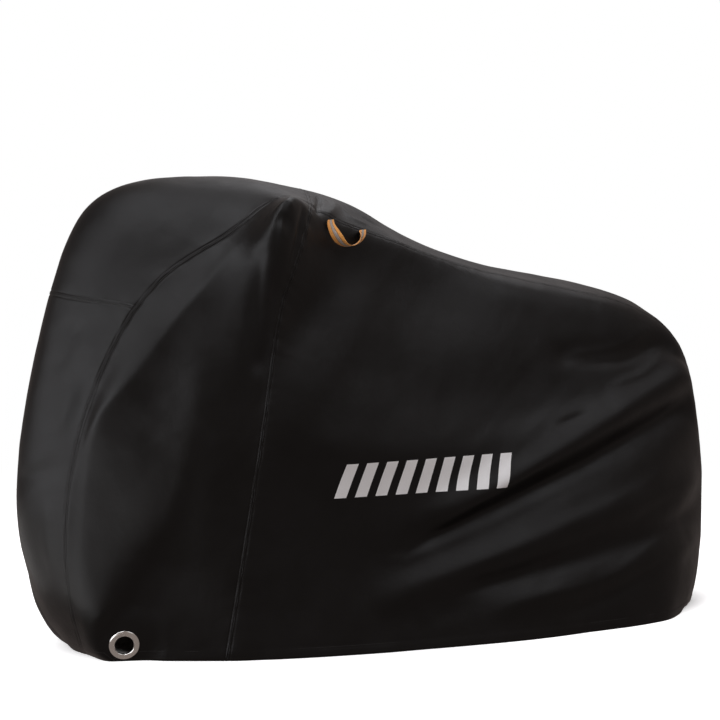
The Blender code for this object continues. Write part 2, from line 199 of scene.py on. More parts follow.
FOLDS: tuple[Fold, ...] = (
    Fold(Side.LEFT, -0.750, 0.652, -1.190, 0.664, 0.000, 0.026, -0.011),
    Fold(Side.LEFT, -0.020, 0.500, -1.030, 0.575, -0.080, 0.055, 0.009),
    Fold(Side.LEFT, -0.330, 0.274, -1.230, 0.607, 0.000, 0.042, 0.018),
    Fold(Side.LEFT, -0.280, 0.236, -1.230, 0.517, 0.000, 0.034, -0.022),
    Fold(Side.LEFT, -0.190, 0.095, -1.260, 0.340, 0.022, 0.042, 0.014),
    Fold(Side.LEFT, -0.420, 0.128, -1.240, 0.250, 0.000, 0.028, -0.010),
    Fold(Side.LEFT, -0.480, 0.070, -1.240, 0.186, 0.000, 0.030, 0.007),
    Fold(Side.LEFT, 0.075, 0.956, 0.060, 0.646, 0.000, 0.026, -0.008),
    Fold(Side.RIGHT, -0.060, 0.566, -0.980, 0.606, -0.050, 0.050, 0.011),
    Fold(Side.RIGHT, -0.140, 0.246, -1.120, 0.566, 0.030, 0.026, -0.016),
    Fold(Side.RIGHT, -0.200, 0.176, -1.220, 0.476, 0.000, 0.028, 0.011),
    Fold(Side.RIGHT, -0.480, 0.086, -1.240, 0.336, 0.000, 0.024, -0.010),
    Fold(Side.RIGHT, 0.070, 0.936, 0.080, 0.566, 0.000, 0.026, -0.013),
)

CREASES: tuple[Crease, ...] = (
    # the bar's end under the cloth: a light rim, the hollow below it, and the notch and facet behind
    Crease(((7.37, 1.21), (7.59, 1.21), (7.94, 1.28), (8.30, 1.39)), 0.007, 0.0035, 1.6, 0.25),
    Crease(((7.62, 1.44), (7.99, 1.46), (8.28, 1.56)), 0.016, -0.0070, 2.0, 0.35),
    Crease(((8.42, 1.15), (8.46, 1.45), (8.50, 1.80)), 0.012, -0.0050, 1.8, 0.35),
    Crease(((8.75, 0.30), (8.77, 0.70), (8.80, 1.08)), 0.007, -0.0085, 1.5, 0.30),
    Crease(((8.97, 0.25), (9.02, 0.60), (8.96, 0.90)), 0.014, 0.0050, 1.8, 0.30),
    Crease(((9.00, 0.30), (9.40, 0.62), (9.90, 0.60)), 0.009, 0.0030, 1.6, 0.30),
    Crease(((9.10, 0.10), (9.60, 0.42), (10.20, 0.50)), 0.011, -0.0030, 1.8, 0.30),
    # tucks that run down from the bar's end
    Crease(((8.10, 1.55), (8.22, 2.10), (8.25, 2.60)), 0.016, -0.0035, 1.8, 0.35),
    Crease(((7.90, 1.60), (7.98, 2.20), (8.00, 2.90)), 0.020, 0.0020, 1.8, 0.35),
    # the roll under the ridge on the left, and the hollow below it
    Crease(((9.90, 1.22), (11.00, 1.20), (12.30, 1.20), (13.40, 1.22), (14.40, 1.15)), 0.060, 0.0060, 2.0, 0.25),
    Crease(((9.40, 2.05), (10.40, 2.05), (11.40, 2.10), (12.30, 1.98), (13.20, 1.82)), 0.070, -0.0090, 2.0, 0.30),
    # small folds under the rear shoulder on the left
    Crease(((12.79, 1.76), (13.17, 1.67), (13.56, 1.59), (14.04, 1.42), (14.48, 1.06)), 0.017, 0.0060, 1.6, 0.30),
    Crease(((13.10, 1.78), (13.50, 1.71), (13.93, 1.63), (14.40, 1.42), (14.75, 1.10)), 0.014, -0.0055, 1.6, 0.32),
    Crease(((13.64, 1.88), (14.06, 1.74), (14.45, 1.57), (14.91, 1.21)), 0.012, 0.0040, 1.6, 0.32),
    # a dimple in the widest fold, and the low folds
    Crease(((12.95, 2.25), (13.20, 2.16), (13.46, 2.07)), 0.010, -0.0050, 1.8, 0.42),
    Crease(((12.49, 3.93), (13.37, 3.78), (14.52, 3.50), (17.04, 2.11)), 0.018, 0.0035, 1.8, 0.30),
    Crease(((13.14, 3.97), (14.39, 3.80), (16.97, 2.70)), 0.020, -0.0040, 1.8, 0.35),
    # bright planes down the front gusset
    Crease(((4.95, 0.40), (4.55, 0.41), (4.10, 0.38)), 0.022, -0.0040, 1.8, 0.35),
    Crease(((4.20, 0.62), (3.80, 0.60), (3.30, 0.56)), 0.020, 0.0040, 1.8, 0.35),
    Crease(((3.05, 0.72), (2.80, 0.30), (2.70, -0.20)), 0.024, -0.0045, 1.8, 0.35),
    Crease(((2.60, 0.60), (2.10, 0.55), (1.30, 0.60)), 0.022, 0.0040, 1.8, 0.35),
    Crease(((4.60, -0.30), (4.00, -0.45), (3.20, -0.50)), 0.024, -0.0040, 1.8, 0.35),
)

# the rolled edge from the bar's end down beside the left gusset seam to the front hem
BRINKS: tuple[Brink, ...] = (
    Brink(((7.22, 0.98), (7.10, 1.02), (6.59, 1.12), (6.16, 1.22), (5.70, 1.27), (5.34, 1.30), (5.04, 1.32),
           (4.63, 1.36), (4.25, 1.34), (3.95, 1.26), (3.45, 1.10), (2.96, 0.96), (2.46, 0.90), (1.93, 0.88),
           (1.33, 0.86), (0.57, 0.80)), 0.120, 0.0210, 0.12),
)

PLEATS: tuple[PleatStation, ...] = (
    #            u     top   first: crest, valley  second        third
    PleatStation(11.6, 2.52, 3.33, 3.41, 3.45, 3.51, 3.67, 3.86),
    PleatStation(12.0, 2.38, 3.13, 3.22, 3.31, 3.40, 3.59, 3.77),
    PleatStation(12.4, 2.24, 2.89, 3.00, 3.14, 3.23, 3.47, 3.68),
    PleatStation(12.8, 2.11, 2.60, 2.82, 2.94, 3.04, 3.33, 3.59),
    PleatStation(13.2, 2.00, 2.36, 2.62, 2.74, 2.86, 3.17, 3.47),
    PleatStation(13.6, 1.90, 2.17, 2.44, 2.56, 2.69, 3.02, 3.35),
    PleatStation(14.0, 1.75, 1.98, 2.25, 2.36, 2.50, 2.85, 3.22),
    PleatStation(14.5, 1.50, 1.74, 2.04, 2.14, 2.26, 2.61, 3.02),
    PleatStation(15.1, 1.15, 1.42, 1.76, 1.87, 1.99, 2.28, 2.70),
    PleatStation(16.0, 0.70, 1.00, 1.30, 1.42, 1.55, 1.80, 2.20),
)


def smooth_step(t: Array) -> Array:
    """0 below 0, 1 above 1, with no slope at either end."""
    t = np.clip(t, 0.0, 1.0)
    return t * t * (3.0 - 2.0 * t)


def unit(vectors: Array) -> Array:
    """Vectors along the last axis, at length 1."""
    return vectors / np.linalg.norm(vectors, axis=-1, keepdims=True)


def bell(distance: Array, width: float, blunt: float = 2.0) -> Array:
    """e to the minus |distance / width| to the power blunt, rounded within a twelfth of the width."""
    return np.exp(-((distance / width) ** 2 + BELL_ROUNDING) ** (blunt / 2.0))


def run_length(points: Array) -> Array:
    """The length along a line of points, from the first one up to each."""
    return np.concatenate(((0.0,), np.cumsum(np.linalg.norm(np.diff(points, axis=0), axis=1))))


def near_line(points: Array, line: Array, margin: float) -> NDArray[np.intp]:
    """The numbers of the points inside the box round a line, grown by a margin."""
    return np.flatnonzero(((points > line.min(0) - margin) & (points < line.max(0) + margin)).all(1))


def lattice_noise(places: Array, cell: Sequence[float], seed: int) -> Array:
    """Smooth noise from -1 to 1: a random value on each lattice point, blended by smooth steps between them.

    Args:
        places: points, with two or three coordinates on the last axis.
        cell: the lattice's spacing along each coordinate.
        seed: which noise.

    Returns:
        One value for each point.
    """
    scaled = places / np.asarray(cell)
    corner = np.floor(scaled).astype(np.int64)
    part = smooth_step(scaled - corner)
    total = np.zeros(places.shape[:-1])
    axes = places.shape[-1]
    for code in range(2**axes):
        step = np.array([(code >> axis) & 1 for axis in range(axes)])
        weight = np.prod(np.where(step == 1, part, 1.0 - part), axis=-1)
        spot = (corner + step) @ np.array(LATTICE_AXES)[:axes] + seed * LATTICE_SEED
        spot = (spot ^ (spot >> 13)) * LATTICE_MIX
        total += weight * (((spot ^ (spot >> 16)) & 0xFFFF) / 32767.5 - 1.0)
    return total


@dataclass(frozen=True)
class SplineBasis:
    """The natural cubic spline through values at fixed knots, as weights of those values."""

    knots: tuple[float, ...]

    @cached_property
    def second(self) -> Array:
        """Each knot's second derivative, as weights of the knots' values."""
        knots = np.asarray(self.knots)
        count = len(knots)
        step = np.diff(knots)
        bends, slopes = np.eye(count), np.zeros((count, count))
        for i in range(1, count - 1):
            bends[i, i - 1:i + 2] = step[i - 1], 2.0 * (step[i - 1] + step[i]), step[i]
            slopes[i, i - 1:i + 2] = 6.0 / step[i - 1], -6.0 / step[i - 1] - 6.0 / step[i], 6.0 / step[i]
        return np.linalg.solve(bends, slopes)

    def weights(self, t: Array) -> tuple[Array, Array]:
        """The weights of the knots' values and of their slope.

        Args:
            t: places along the spline, in one row.

        Returns:
            Two arrays of one row for each place: for the value, and for its derivative.
        """
        knots = np.asarray(self.knots)
        step = np.diff(knots)
        cell = np.clip(np.searchsorted(knots, t, side="right") - 1, 0, len(knots) - 2)
        span = step[cell][:, None]
        low = (knots[cell + 1] - t)[:, None] / span
        high = 1.0 - low
        own, second = np.eye(len(knots)), self.second
        value = low * own[cell] + high * own[cell + 1]
        value += ((low**3 - low) * second[cell] + (high**3 - high) * second[cell + 1]) * span**2 / 6.0
        slope = (own[cell + 1] - own[cell]) / span
        slope += ((1.0 - 3.0 * low**2) * second[cell] + (3.0 * high**2 - 1.0) * second[cell + 1]) * span / 6.0
        return value, slope


def curve(path: tuple[tuple[float, float], ...], samples: int) -> tuple[Array, Array]:
    """A smooth curve through places (u, v), with the same number of samples from each place to the next.

    Args:
        path: the places.
        samples: how many samples there are.

    Returns:
        u and v of each sample.
    """
    knots = tuple(np.linspace(0.0, 1.0, len(path)).tolist())
    weights, _ = SplineBasis(knots).weights(np.linspace(0.0, 1.0, samples))
    u, v = (weights @ np.array(path)).T
    return u, v


@dataclass(frozen=True)
class CoverSurface:
    """The drape of the cover: a spline surface through its sections, folded, and flat round the eyelets."""

    bar_x: float = -0.020
    crown_z: float = 1.084
    cloth: float = 0.002
    cross_u: float = 5.12
    joint_u: float = 8.60
    rear_u: float = len(SECTIONS) - 1.0
    seam_v: float = 0.85
    hem_v: float = 4.20
    line_v: tuple[float, ...] = (0.0, 0.45, 0.85, 1.35, 2.10, 3.15, 4.20)
    eyelet_u: float = 2.13
    eyelet_v: float = 3.72
    fold_fade: float = 0.50
    fold_full: float = 0.38
    fold_taper: float = 0.09
    brow_share: float = 0.55
    brow_curve: float = 1.60
    skirt_swell: float = 0.12
    flat_r: float = 0.050
    fade_r: float = 0.100

    @property
    def floor(self) -> float:
        """Height of the floor under the hem."""
        return self.cloth - self.crown_z

    @cached_property
    def along(self) -> SplineBasis:
        """The spline over the sections."""
        return SplineBasis(tuple(float(i) for i in range(len(SECTIONS))))

    @cached_property
    def across(self) -> SplineBasis:
        """The spline over the lines from hem to hem."""
        return SplineBasis((*(-v for v in self.line_v[:0:-1]), *self.line_v))

    @cached_property
    def net(self) -> Array:
        """The sections' points from the right hem over the ridge to the left hem."""
        rows = []
        for s in SECTIONS:
            flank = np.array((s.flank_x, s.flank_half, s.flank_z))
            hem = np.array((s.hem_x, s.hem_half, 0.0))
            skirt = (flank + hem) / 2.0
            skirt[1] += self.skirt_swell * (hem[1] - flank[1])
            ridge = np.array((s.ridge_x, 0.0, s.ridge_z))
            seam = np.array((s.seam_x, s.seam_half, s.seam_z))
            powers = np.array((self.brow_curve, 1.0, self.brow_curve))
            brow = ridge + (seam - ridge) * self.brow_share**powers
            left = np.array((ridge, brow, seam, (s.edge_x, s.edge_half, s.edge_z), flank, skirt, hem))
            rows.append(np.vstack((left[:0:-1] * (1.0, -1.0, 1.0), left)))
        return np.array(rows) - (self.bar_x, 0.0, self.crown_z - self.cloth)

    def drape(self, u: Array, v: Array) -> tuple[Array, Array, Array, Array]:
        """The surface without its folds.

        Args:
            u: places over the cover.
            v: places across it, of a shape that goes with u.

        Returns:
            Points, outward unit normals, and how far one unit of u and one of v reach there.
        """
        u, v = np.broadcast_arrays(np.asarray(u, float), np.asarray(v, float))
        along, along_slope = self.along.weights(u.ravel())
        across, across_slope = self.across.weights(v.ravel())
        rows = np.tensordot(along, self.net, 1)
        points = np.einsum("nj,njk->nk", across, rows)
        by_v = np.einsum("nj,njk->nk", across_slope, rows)
        by_u = np.einsum("nj,njk->nk", across, np.tensordot(along_slope, self.net, 1))
        normals = unit(np.cross(by_v, by_u))
        reach_u, reach_v = np.linalg.norm(by_u, axis=-1), np.linalg.norm(by_v, axis=-1)
        shape = u.shape
        return points.reshape(*shape, 3), normals.reshape(*shape, 3), reach_u.reshape(shape), reach_v.reshape(shape)

    def fold_height(self, points: Array, side: Side) -> Array:
        """Height of one side's folds: a bell across each fold's line, dying away at its ends.

        Args:
            points: points on the drape.
            side: whose folds.

        Returns:
            One height for each point.
        """
        height = np.zeros(points.shape[:-1])
        for fold in FOLDS:
            if fold.side is not side:
                continue
            start = np.array((fold.start_x - self.bar_x, fold.start_z + self.floor))
            end = np.array((fold.end_x - self.bar_x, fold.end_z + self.floor))
            length = np.linalg.norm(end - start)
            along = (end - start) / length
            above = np.array((along[1], -along[0]))
            offset = points[..., (0, 2)] - start
            share = offset @ along / length
            inside = np.clip(share, 0.0, 1.0)
            distance = offset @ above - 4.0 * fold.bow * inside * (1.0 - inside)
            past_end = np.clip(np.abs(share - 0.5) - self.fold_full, 0.0, None) / self.fold_taper
            height += fold.height * np.exp(-(distance / fold.width) ** 2 - past_end**2)
        return height

    def folded(self, u: Array, v: Array) -> tuple[Array, Array]:
        """The drape with its folds raised along its normals.

        Args:
            u: places over the cover.
            v: places across it.

        Returns:
            Points, and the drape's unit normals.
        """
        u, v = np.broadcast_arrays(np.asarray(u, float), np.asarray(v, float))
        points, normals, _, _ = self.drape(u, v)
        fade = smooth_step((np.abs(v) - self.seam_v) / self.fold_fade)
        left, right = self.fold_height(points, Side.LEFT), self.fold_height(points, Side.RIGHT)
        return points + normals * (np.where(v > 0.0, left, right) * fade)[..., None], normals

    def eyelet(self, side: Side) -> tuple[Array, Array]:
        """The cloth at an eyelet, from the slopes between places a small step apart.

        Args:
            side: which eyelet.

        Returns:
            Its centre and outward unit normal.
        """
        step = 0.001
        u = self.eyelet_u + np.array((0.0, step, -step, 0.0, 0.0))
        v = side.value * self.eyelet_v + np.array((0.0, 0.0, 0.0, step, -step))
        points, _ = self.folded(u, v)
        return points[0], unit(np.cross(points[3] - points[4], points[1] - points[2]))

    @cached_property
    def eyelets(self) -> dict[Side, tuple[Array, Array]]:
        """Both eyelets' centres and normals."""
        return {side: self.eyelet(side) for side in Side}

    def flatten(self, points: Array) -> Array:
        """Moves points level onto a plane round each eyelet, fully within flat_r and not at all past fade_r.

        Args:
            points: points on or near the cloth.

        Returns:
            The points, moved.
        """
        for centre, normal in self.eyelets.values():
            offset = points - centre
            height = offset @ normal
            reach = np.linalg.norm(offset - height[..., None] * normal, axis=-1)
            flatness = (np.abs(height) < self.fade_r) * smooth_step((self.fade_r - reach) / (self.fade_r - self.flat_r))
            level = normal * (1.0, 1.0, 0.0) / (1.0 - normal[2] ** 2)
            points = points - (flatness * height)[..., None] * level
        return points

    def eyelet_distance(self, points: Array) -> Array:
        """Distance to the nearer eyelet's centre."""
        return np.min([np.linalg.norm(points - centre, axis=-1) for centre, _ in self.eyelets.values()], axis=0)


@dataclass(frozen=True)
class Seam:
    """A seam along v = place, or across along u = place, with its measures taken once from the surface."""

    surface: CoverSurface
    place: float
    runs_over: bool
    start: float
    end: float
    band: float = 0.0050
    band_edge: float = 0.0024
    rise: float = 0.0005
    groove: float = 0.0016
    groove_width: float = 0.0017
    groove_marks: tuple[float, float] = (0.75, 0.45)
    marks_cell: tuple[float, float] = (1.6, 9.0)
    pucker: float = 0.0011
    pucker_reach: float = 0.020
    pucker_pitch: float = 0.013
    pucker_stretch: float = 0.35
    slow_pucker: float = 0.6
    slow_cell: float = 2.3
    calm_share: float = 0.3
    weights: tuple[tuple[float, float], ...] = ((0.0, 1.0),)
    samples: int = 400

    @cached_property
    def table(self) -> tuple[Array, Array, Array]:
        """Places along the seam, the reach of one unit square to it, and the length up to there."""
        t = np.linspace(self.start, self.end, self.samples)
        fixed = np.full_like(t, self.place)
        u, v = (t, fixed) if self.runs_over else (fixed, t)
        points, _, reach_u, reach_v = self.surface.drape(u, v)
        return t, reach_v if self.runs_over else reach_u, run_length(points)

    @property
    def length(self) -> float:
        """The seam's length along the drape."""
        return float(self.table[2][-1])

    def measure(self, u: Array, v: Array) -> tuple[Array, Array]:
        """How far each place on the surface is from the seam.

        Args:
            u: places over the cover.
            v: places across it.

        Returns:
            Signed distance from the seam, and length along it.
        """
        t, reach, run = self.table
        along, aside = (u, v) if self.runs_over else (v, u)
        return (aside - self.place) * np.interp(along, t, reach), np.interp(along, t, run)

    def beside(self, run: Array, distance: float) -> tuple[Array, Array]:
        """The places at given lengths along the seam.

        Args:
            run: lengths along the seam.
            distance: how far beside it, the same for all.

        Returns:
            u and v of each place.
        """
        t, reach, total = self.table
        along = np.interp(run, total, t)
        aside = self.place + distance / np.interp(along, t, reach)
        return (along, aside) if self.runs_over else (aside, along)

    def relief(self, u: Array, v: Array, seed: int) -> Array:
        """A felled seam: a raised band between two stitched grooves, with puckers that die away from it.

        Args:
            u: places over the cover.
            v: places across it.
            seed: which puckers.

        Returns:
            Height above the cloth.
        """
        distance, run = self.measure(u, v)
        aside = np.abs(distance)
        places = np.stack((run, distance * self.pucker_stretch), -1)
        short, wide, slow = (self.pucker_pitch * share for share in (*self.marks_cell, self.slow_cell))
        even, uneven = self.groove_marks
        marks = even + uneven * lattice_noise(places, (short, wide), seed + 7)
        height = self.rise * smooth_step((self.band + self.band_edge / 2.0 - aside) / self.band_edge)
        height = height - self.groove * marks * bell(aside - self.band, self.groove_width)
        ripple = lattice_noise(places, (self.pucker_pitch, self.pucker_pitch), seed)
        ripple = ripple + self.slow_pucker * lattice_noise(places, (slow, slow), seed + 1)
        past = np.clip(aside - self.band, 0.0, None)
        outside = aside > self.band * self.calm_share
        height = height + self.pucker * ripple * np.exp(-past / self.pucker_reach) * outside
        return height * np.interp(u if self.runs_over else v, *np.array(self.weights).T)


@dataclass(frozen=True)
class PleatFan:
    """The fan of folds low on the left, flat from line to line: heights on the lines at its front and its rear."""

    front: tuple[float, ...] = (-0.005, 0.008, -0.005, 0.003, -0.005, 0.007, -0.005)
    rear: tuple[float, ...] = (-0.006, 0.013, -0.009, 0.003, 0.001, 0.009, -0.006)
    margins: tuple[float, float] = (0.40, 0.30)
    rounding: float = 0.045
    u_in: tuple[float, float] = (11.1, 12.0)
    u_out: tuple[float, float] = (16.2, 14.9)
    v_in: tuple[float, float] = (0.85, 1.25)

    @cached_property
    def stations(self) -> Array:
        """One row for each station: its u, and the v of every line with a level line on each side."""
        rows = np.array(PLEATS)
        return np.column_stack((rows[:, :2] - (0.0, self.margins[0]), rows[:, 1:], rows[:, -1] + self.margins[1]))

    def height(self, u: Array, v: Array) -> Array:
        """The sum over the lines of the change of slope there times the rounded distance past the line.

        Args:
            u: places over the cover.
            v: places across it.

        Returns:
            Height above the cloth.
        """
        stations = self.stations
        share = np.clip((u - stations[0, 0]) / np.ptp(stations[:, 0]), 0.0, 1.0)[..., None]
        lines = np.stack([np.interp(u, stations[:, 0], line) for line in stations[:, 1:].T], -1)
        heights = np.array((0.0, *self.front, 0.0)) * (1.0 - share) + np.array((0.0, *self.rear, 0.0)) * share
        slopes = np.diff(heights, axis=-1) / np.diff(lines, axis=-1)
        level = np.zeros((*slopes.shape[:-1], 1))
        turns = np.diff(np.concatenate((level, slopes, level), -1), axis=-1)
        past = v[..., None] - lines
        total = np.sum(turns * (past + np.sqrt(past**2 + self.rounding**2)) / 2.0, -1)
        (low, full), (end, last), (seam, clear) = self.u_in, self.u_out, self.v_in
        window = smooth_step((u - low) / (full - low)) * smooth_step((end - u) / (end - last))
        return total * window * smooth_step((v - seam) / (clear - seam))


@dataclass(frozen=True)
class Relief:
    """All the fine shape of the cloth: seams, hem, creases, and the slack between them."""

    surface: CoverSurface
    hem_band: float = 0.022
    hem_step: float = 0.0006
    hem_edge: float = 0.002
    hem_groove: float = 0.0009
    hem_groove_width: float = 0.0016
    slack: float = 0.0016
    slack_cell: Triple = (0.11, 0.13, 0.10)
    small_slack: float = 0.4
    small_cell: Triple = (0.04, 0.05, 0.04)
    streak: float = 0.0012
    streak_focus: tuple[float, float] = (0.120, -1.060)
    streak_cell: tuple[float, float] = (0.060, 0.420)
    fine_streak: float = 0.45
    fine_cell: tuple[float, float] = (0.026, 0.31)
    side_shift: float = 0.10
    streak_angles: tuple[float, float] = (0.04, 0.95)
    angle_fades: tuple[float, float] = (0.12, 0.45)
    streak_radius: float = 0.25
    radius_fade: float = 0.45
    streak_v: float = 1.1
    v_fade: float = 0.8
    crease_samples: int = 90
    crease_margin: float = 3.5
    brink_rounding: float = 0.006
    brink_blend: float = 0.015
    brink_full: float = 1.7
    brink_fade: float = 1.4
    past_ends: float = 0.02
    calm_r: float = 0.042
    calm_fade: float = 0.034
    pleats: PleatFan = PleatFan()

    @cached_property
    def seams(self) -> dict[str, Seam]:
        """Every seam of the cover, by name."""
        s = self.surface
        faint = ((0.0, 0.5), (3.6, 0.6), (4.3, 1.0), (7.3, 1.0), (8.4, 0.6), (9.8, 0.5), (s.rear_u, 0.4))
        low_on_top = ((-1.6, 1.0), (-0.9, 0.5), (0.9, 0.5), (1.6, 1.0))
        return {
            "gusset_left": Seam(s, s.seam_v, True, 0.0, s.rear_u, weights=faint),
            "gusset_right": Seam(s, -s.seam_v, True, 0.0, s.rear_u, weights=faint),
            "joint": Seam(s, s.joint_u, False, -s.hem_v, s.hem_v, pucker=0.0016, weights=low_on_top),
            "cross": Seam(s, s.cross_u, False, -s.seam_v, s.seam_v, pucker=0.0008),
        }

    @cached_property
    def crease_lines(self) -> list[tuple[Crease, Array]]:
        """Each crease with its line in space, read from a smooth curve through its places."""
        return [(crease, self.surface.folded(*curve(crease.path, self.crease_samples))[0]) for crease in CREASES]

    def crease_height(self, points: Array) -> Array:
        """A bell across each crease's line in space, dying away towards both ends.

        Args:
            points: the folded cloth.

        Returns:
            One height for each point.
        """
        height = np.zeros(points.shape[:-1])
        flat, total = points.reshape(-1, 3), height.reshape(-1)
        for crease, line in self.crease_lines:
            near = near_line(flat, line, crease.width * self.crease_margin)
            if not len(near):
                continue
            apart = np.linalg.norm(flat[near][:, None] - line[None], axis=-1)
            nearest = apart.argmin(1)
            tangent = unit(np.gradient(line, axis=0))[nearest]
            offset = flat[near] - line[nearest]
            slide = np.sum(offset * tangent, -1)
            inner = (nearest > 0) & (nearest < len(line) - 1)
            distance = np.sqrt(np.clip(np.sum(offset**2, -1) - np.where(inner, slide**2, 0.0), 0.0, None))
            share = nearest / (len(line) - 1.0)
            ends = smooth_step(share / crease.ends) * smooth_step((1.0 - share) / crease.ends)
            total[near] += crease.height * ends * bell(distance, crease.width, crease.blunt)
        return height

    def brink_height(self, points: Array) -> Array:
        """Minus depth * t * e to the (1 - t) past each brink, where t is the rounded distance past it over reach.

        The distance is taken from the brink's samples together, each with a share that falls off with its gap to
        the point. The fall is whole up to a smallest gap of brink_full times reach, and dies away over brink_fade
        times reach more.

        Args:
            points: the folded cloth.

        Returns:
            One height for each point, 0 or below.
        """
        height = np.zeros(points.shape[:-1])
        flat, total = points.reshape(-1, 3), height.reshape(-1)
        for brink in BRINKS:
            line, normals = self.surface.folded(*curve(brink.path, 2 * self.crease_samples))
            past = unit(np.cross(normals, np.gradient(line, axis=0)))
            near = near_line(flat, line, brink.reach * (self.brink_full + self.brink_fade))
            gaps = np.linalg.norm(flat[near][:, None] - line[None], axis=-1)
            shares = np.exp((gaps.min(1, keepdims=True) - gaps) / self.brink_blend)
            shares /= shares.sum(1, keepdims=True)
            distance = np.sum((flat[near] - shares @ line) * (shares @ past), -1)
            t = (distance + np.sqrt(distance**2 + self.brink_rounding**2)) / 2.0 / brink.reach
            along = shares @ np.linspace(0.0, 1.0, len(line))
            ends = smooth_step(along / brink.ends) * smooth_step((1.0 - along) / brink.ends)
            tail = 1.0 - smooth_step((gaps.min(1) / brink.reach - self.brink_full) / self.brink_fade)
            total[near] -= brink.depth * ends * tail * t * np.exp(1.0 - t)
        return height

    def streak_height(self, points: Array, v: Array) -> Array:
        """Long shallow creases that fan out to the rear from the foot of the joint, on both sides.

        Noise of the angle about that foot, stretched along the radius, that grows with the radius.

        Args:
            points: the folded cloth.
            v: the same places across the cover.

        Returns:
            One height for each point.
        """
        aside = points[..., 0] - self.streak_focus[0]
        above = points[..., 2] - self.streak_focus[1]
        radius = np.hypot(aside, above)
        angle = np.arctan2(above, -aside)
        places = np.stack((angle + self.side_shift * (v < 0.0), radius), -1)
        fan = lattice_noise(places, self.streak_cell, 11) + self.fine_streak * lattice_noise(places, self.fine_cell, 12)
        (low, high), (low_fade, high_fade) = self.streak_angles, self.angle_fades
        window = smooth_step((angle - low) / low_fade) * smooth_step((high - angle) / high_fade)
        window = window * smooth_step((radius - self.streak_radius) / self.radius_fade)
        return self.streak * fan * window * smooth_step((np.abs(v) - self.streak_v) / self.v_fade)

    def hem_height(self, points: Array) -> Array:
        """The turned hem: a shallow step up below its stitches and a groove along them.

        Args:
            points: the folded cloth.

        Returns:
            One height for each point.
        """
        above = points[..., 2] - self.surface.floor
        step = self.hem_step * smooth_step((self.hem_band + self.hem_edge / 2.0 - above) / self.hem_edge)
        return step - self.hem_groove * bell(above - self.hem_band, self.hem_groove_width)

    def __call__(self, u: Array, v: Array, points: Array) -> Array:
        """Height of the fine shape above the folded cloth.

        Args:
            u: places over the cover.
            v: places across it.
            points: the folded cloth there.

        Returns:
            One height for each place.
        """
        height = self.crease_height(points) + self.brink_height(points) + self.pleats.height(u, v)
        height = height + self.streak_height(points, v) + self.hem_height(points)
        for seed, seam in enumerate(self.seams.values(), start=21):
            if seam.runs_over:
                height = height + seam.relief(u, v, 2 * seed)
            else:
                low, high = seam.start - self.past_ends, seam.end + self.past_ends
                height = height + np.where((v > low) & (v < high), seam.relief(u, v, 2 * seed), 0.0)
        small = self.small_slack * lattice_noise(points, self.small_cell, 4)
        height = height + self.slack * (lattice_noise(points, self.slack_cell, 3) + small)
        return height * smooth_step((self.surface.eyelet_distance(points) - self.calm_r) / self.calm_fade)


@dataclass(frozen=True)
class Cloth:
    """A finished cloth surface that any piece may be laid on: the folded drape plus its relief."""

    surface: CoverSurface
    relief: Relief
    upright_band: float = 0.030

    def at(self, u: Array, v: Array) -> tuple[Array, Array]:
        """Points and outward normals of the finished cloth.

        Args:
            u: places over the cover.
            v: places across it.

        Returns:
            Points, with the hem kept at the floor, and the drape's unit normals.
        """
        u, v = np.broadcast_arrays(np.asarray(u, float), np.asarray(v, float))
        points, normals = self.surface.folded(u, v)
        height = self.relief(u, v, points)[..., None]
        level = smooth_step((points[..., 2:] - self.surface.floor) / self.upright_band)
        flat = normals * (1.0, 1.0, 0.0)
        direction = flat + (normals - flat) * level
        return self.surface.flatten(points + direction * height), normals


def lay_mesh(name: str, points: Array, faces: Array, uv: Array | None = None) -> bpy.types.Object:
    """A smooth-shaded object at the origin from whole arrays.

    Args:
        name: the piece's name.
        points: one row for each vertex.
        faces: one row of four vertices for each face, with the last one repeated in a triangle.
        uv: each vertex's place on the piece's own UV map.

    Returns:
        The object, linked to the scene.
    """
    three = faces[:, 2] == faces[:, 3]
    corners = np.concatenate((faces[~three].ravel(), faces[three][:, :3].ravel()))
    sizes = np.concatenate((np.full((~three).sum(), 4), np.full(three.sum(), 3)))
    mesh = bpy.data.meshes.new(name)
    mesh.vertices.add(len(points))
    mesh.vertices.foreach_set("co", np.ascontiguousarray(points, np.float32).ravel())
    mesh.loops.add(len(corners))
    mesh.loops.foreach_set("vertex_index", corners.astype(np.int32))
    mesh.polygons.add(len(sizes))
    mesh.polygons.foreach_set("loop_start", (np.cumsum(sizes) - sizes).astype(np.int32))
    mesh.polygons.foreach_set("loop_total", sizes.astype(np.int32))
    if uv is not None:
        layer = mesh.uv_layers.new(name="flat")
        layer.data.foreach_set("uv", np.ascontiguousarray(uv[corners], np.float32).ravel())
    mesh.update(calc_edges=True)
    mesh.validate()
    mesh.shade_smooth()
    piece = bpy.data.objects.new(name, mesh)
    bpy.context.scene.collection.objects.link(piece)
    return piece


def finish_piece(piece: bpy.types.Object, material: bpy.types.Material, slot: str, *nodes: str) -> None:
    """Gives a piece its finish, and ties it to the cover's body.

    Args:
        piece: the piece.
        material: its finish.
        slot: the finish's slot, which is not used.
        nodes: the solids that it stands for.
    """
    piece.data.materials.append(material)
    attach(piece, "root")
    if nodes:
        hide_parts(*nodes)


def report(piece: bpy.types.Object) -> None:
    """Logs a piece's name and how many faces it has."""
    LOG.info("%s: %d faces", piece.name, len(piece.data.polygons))


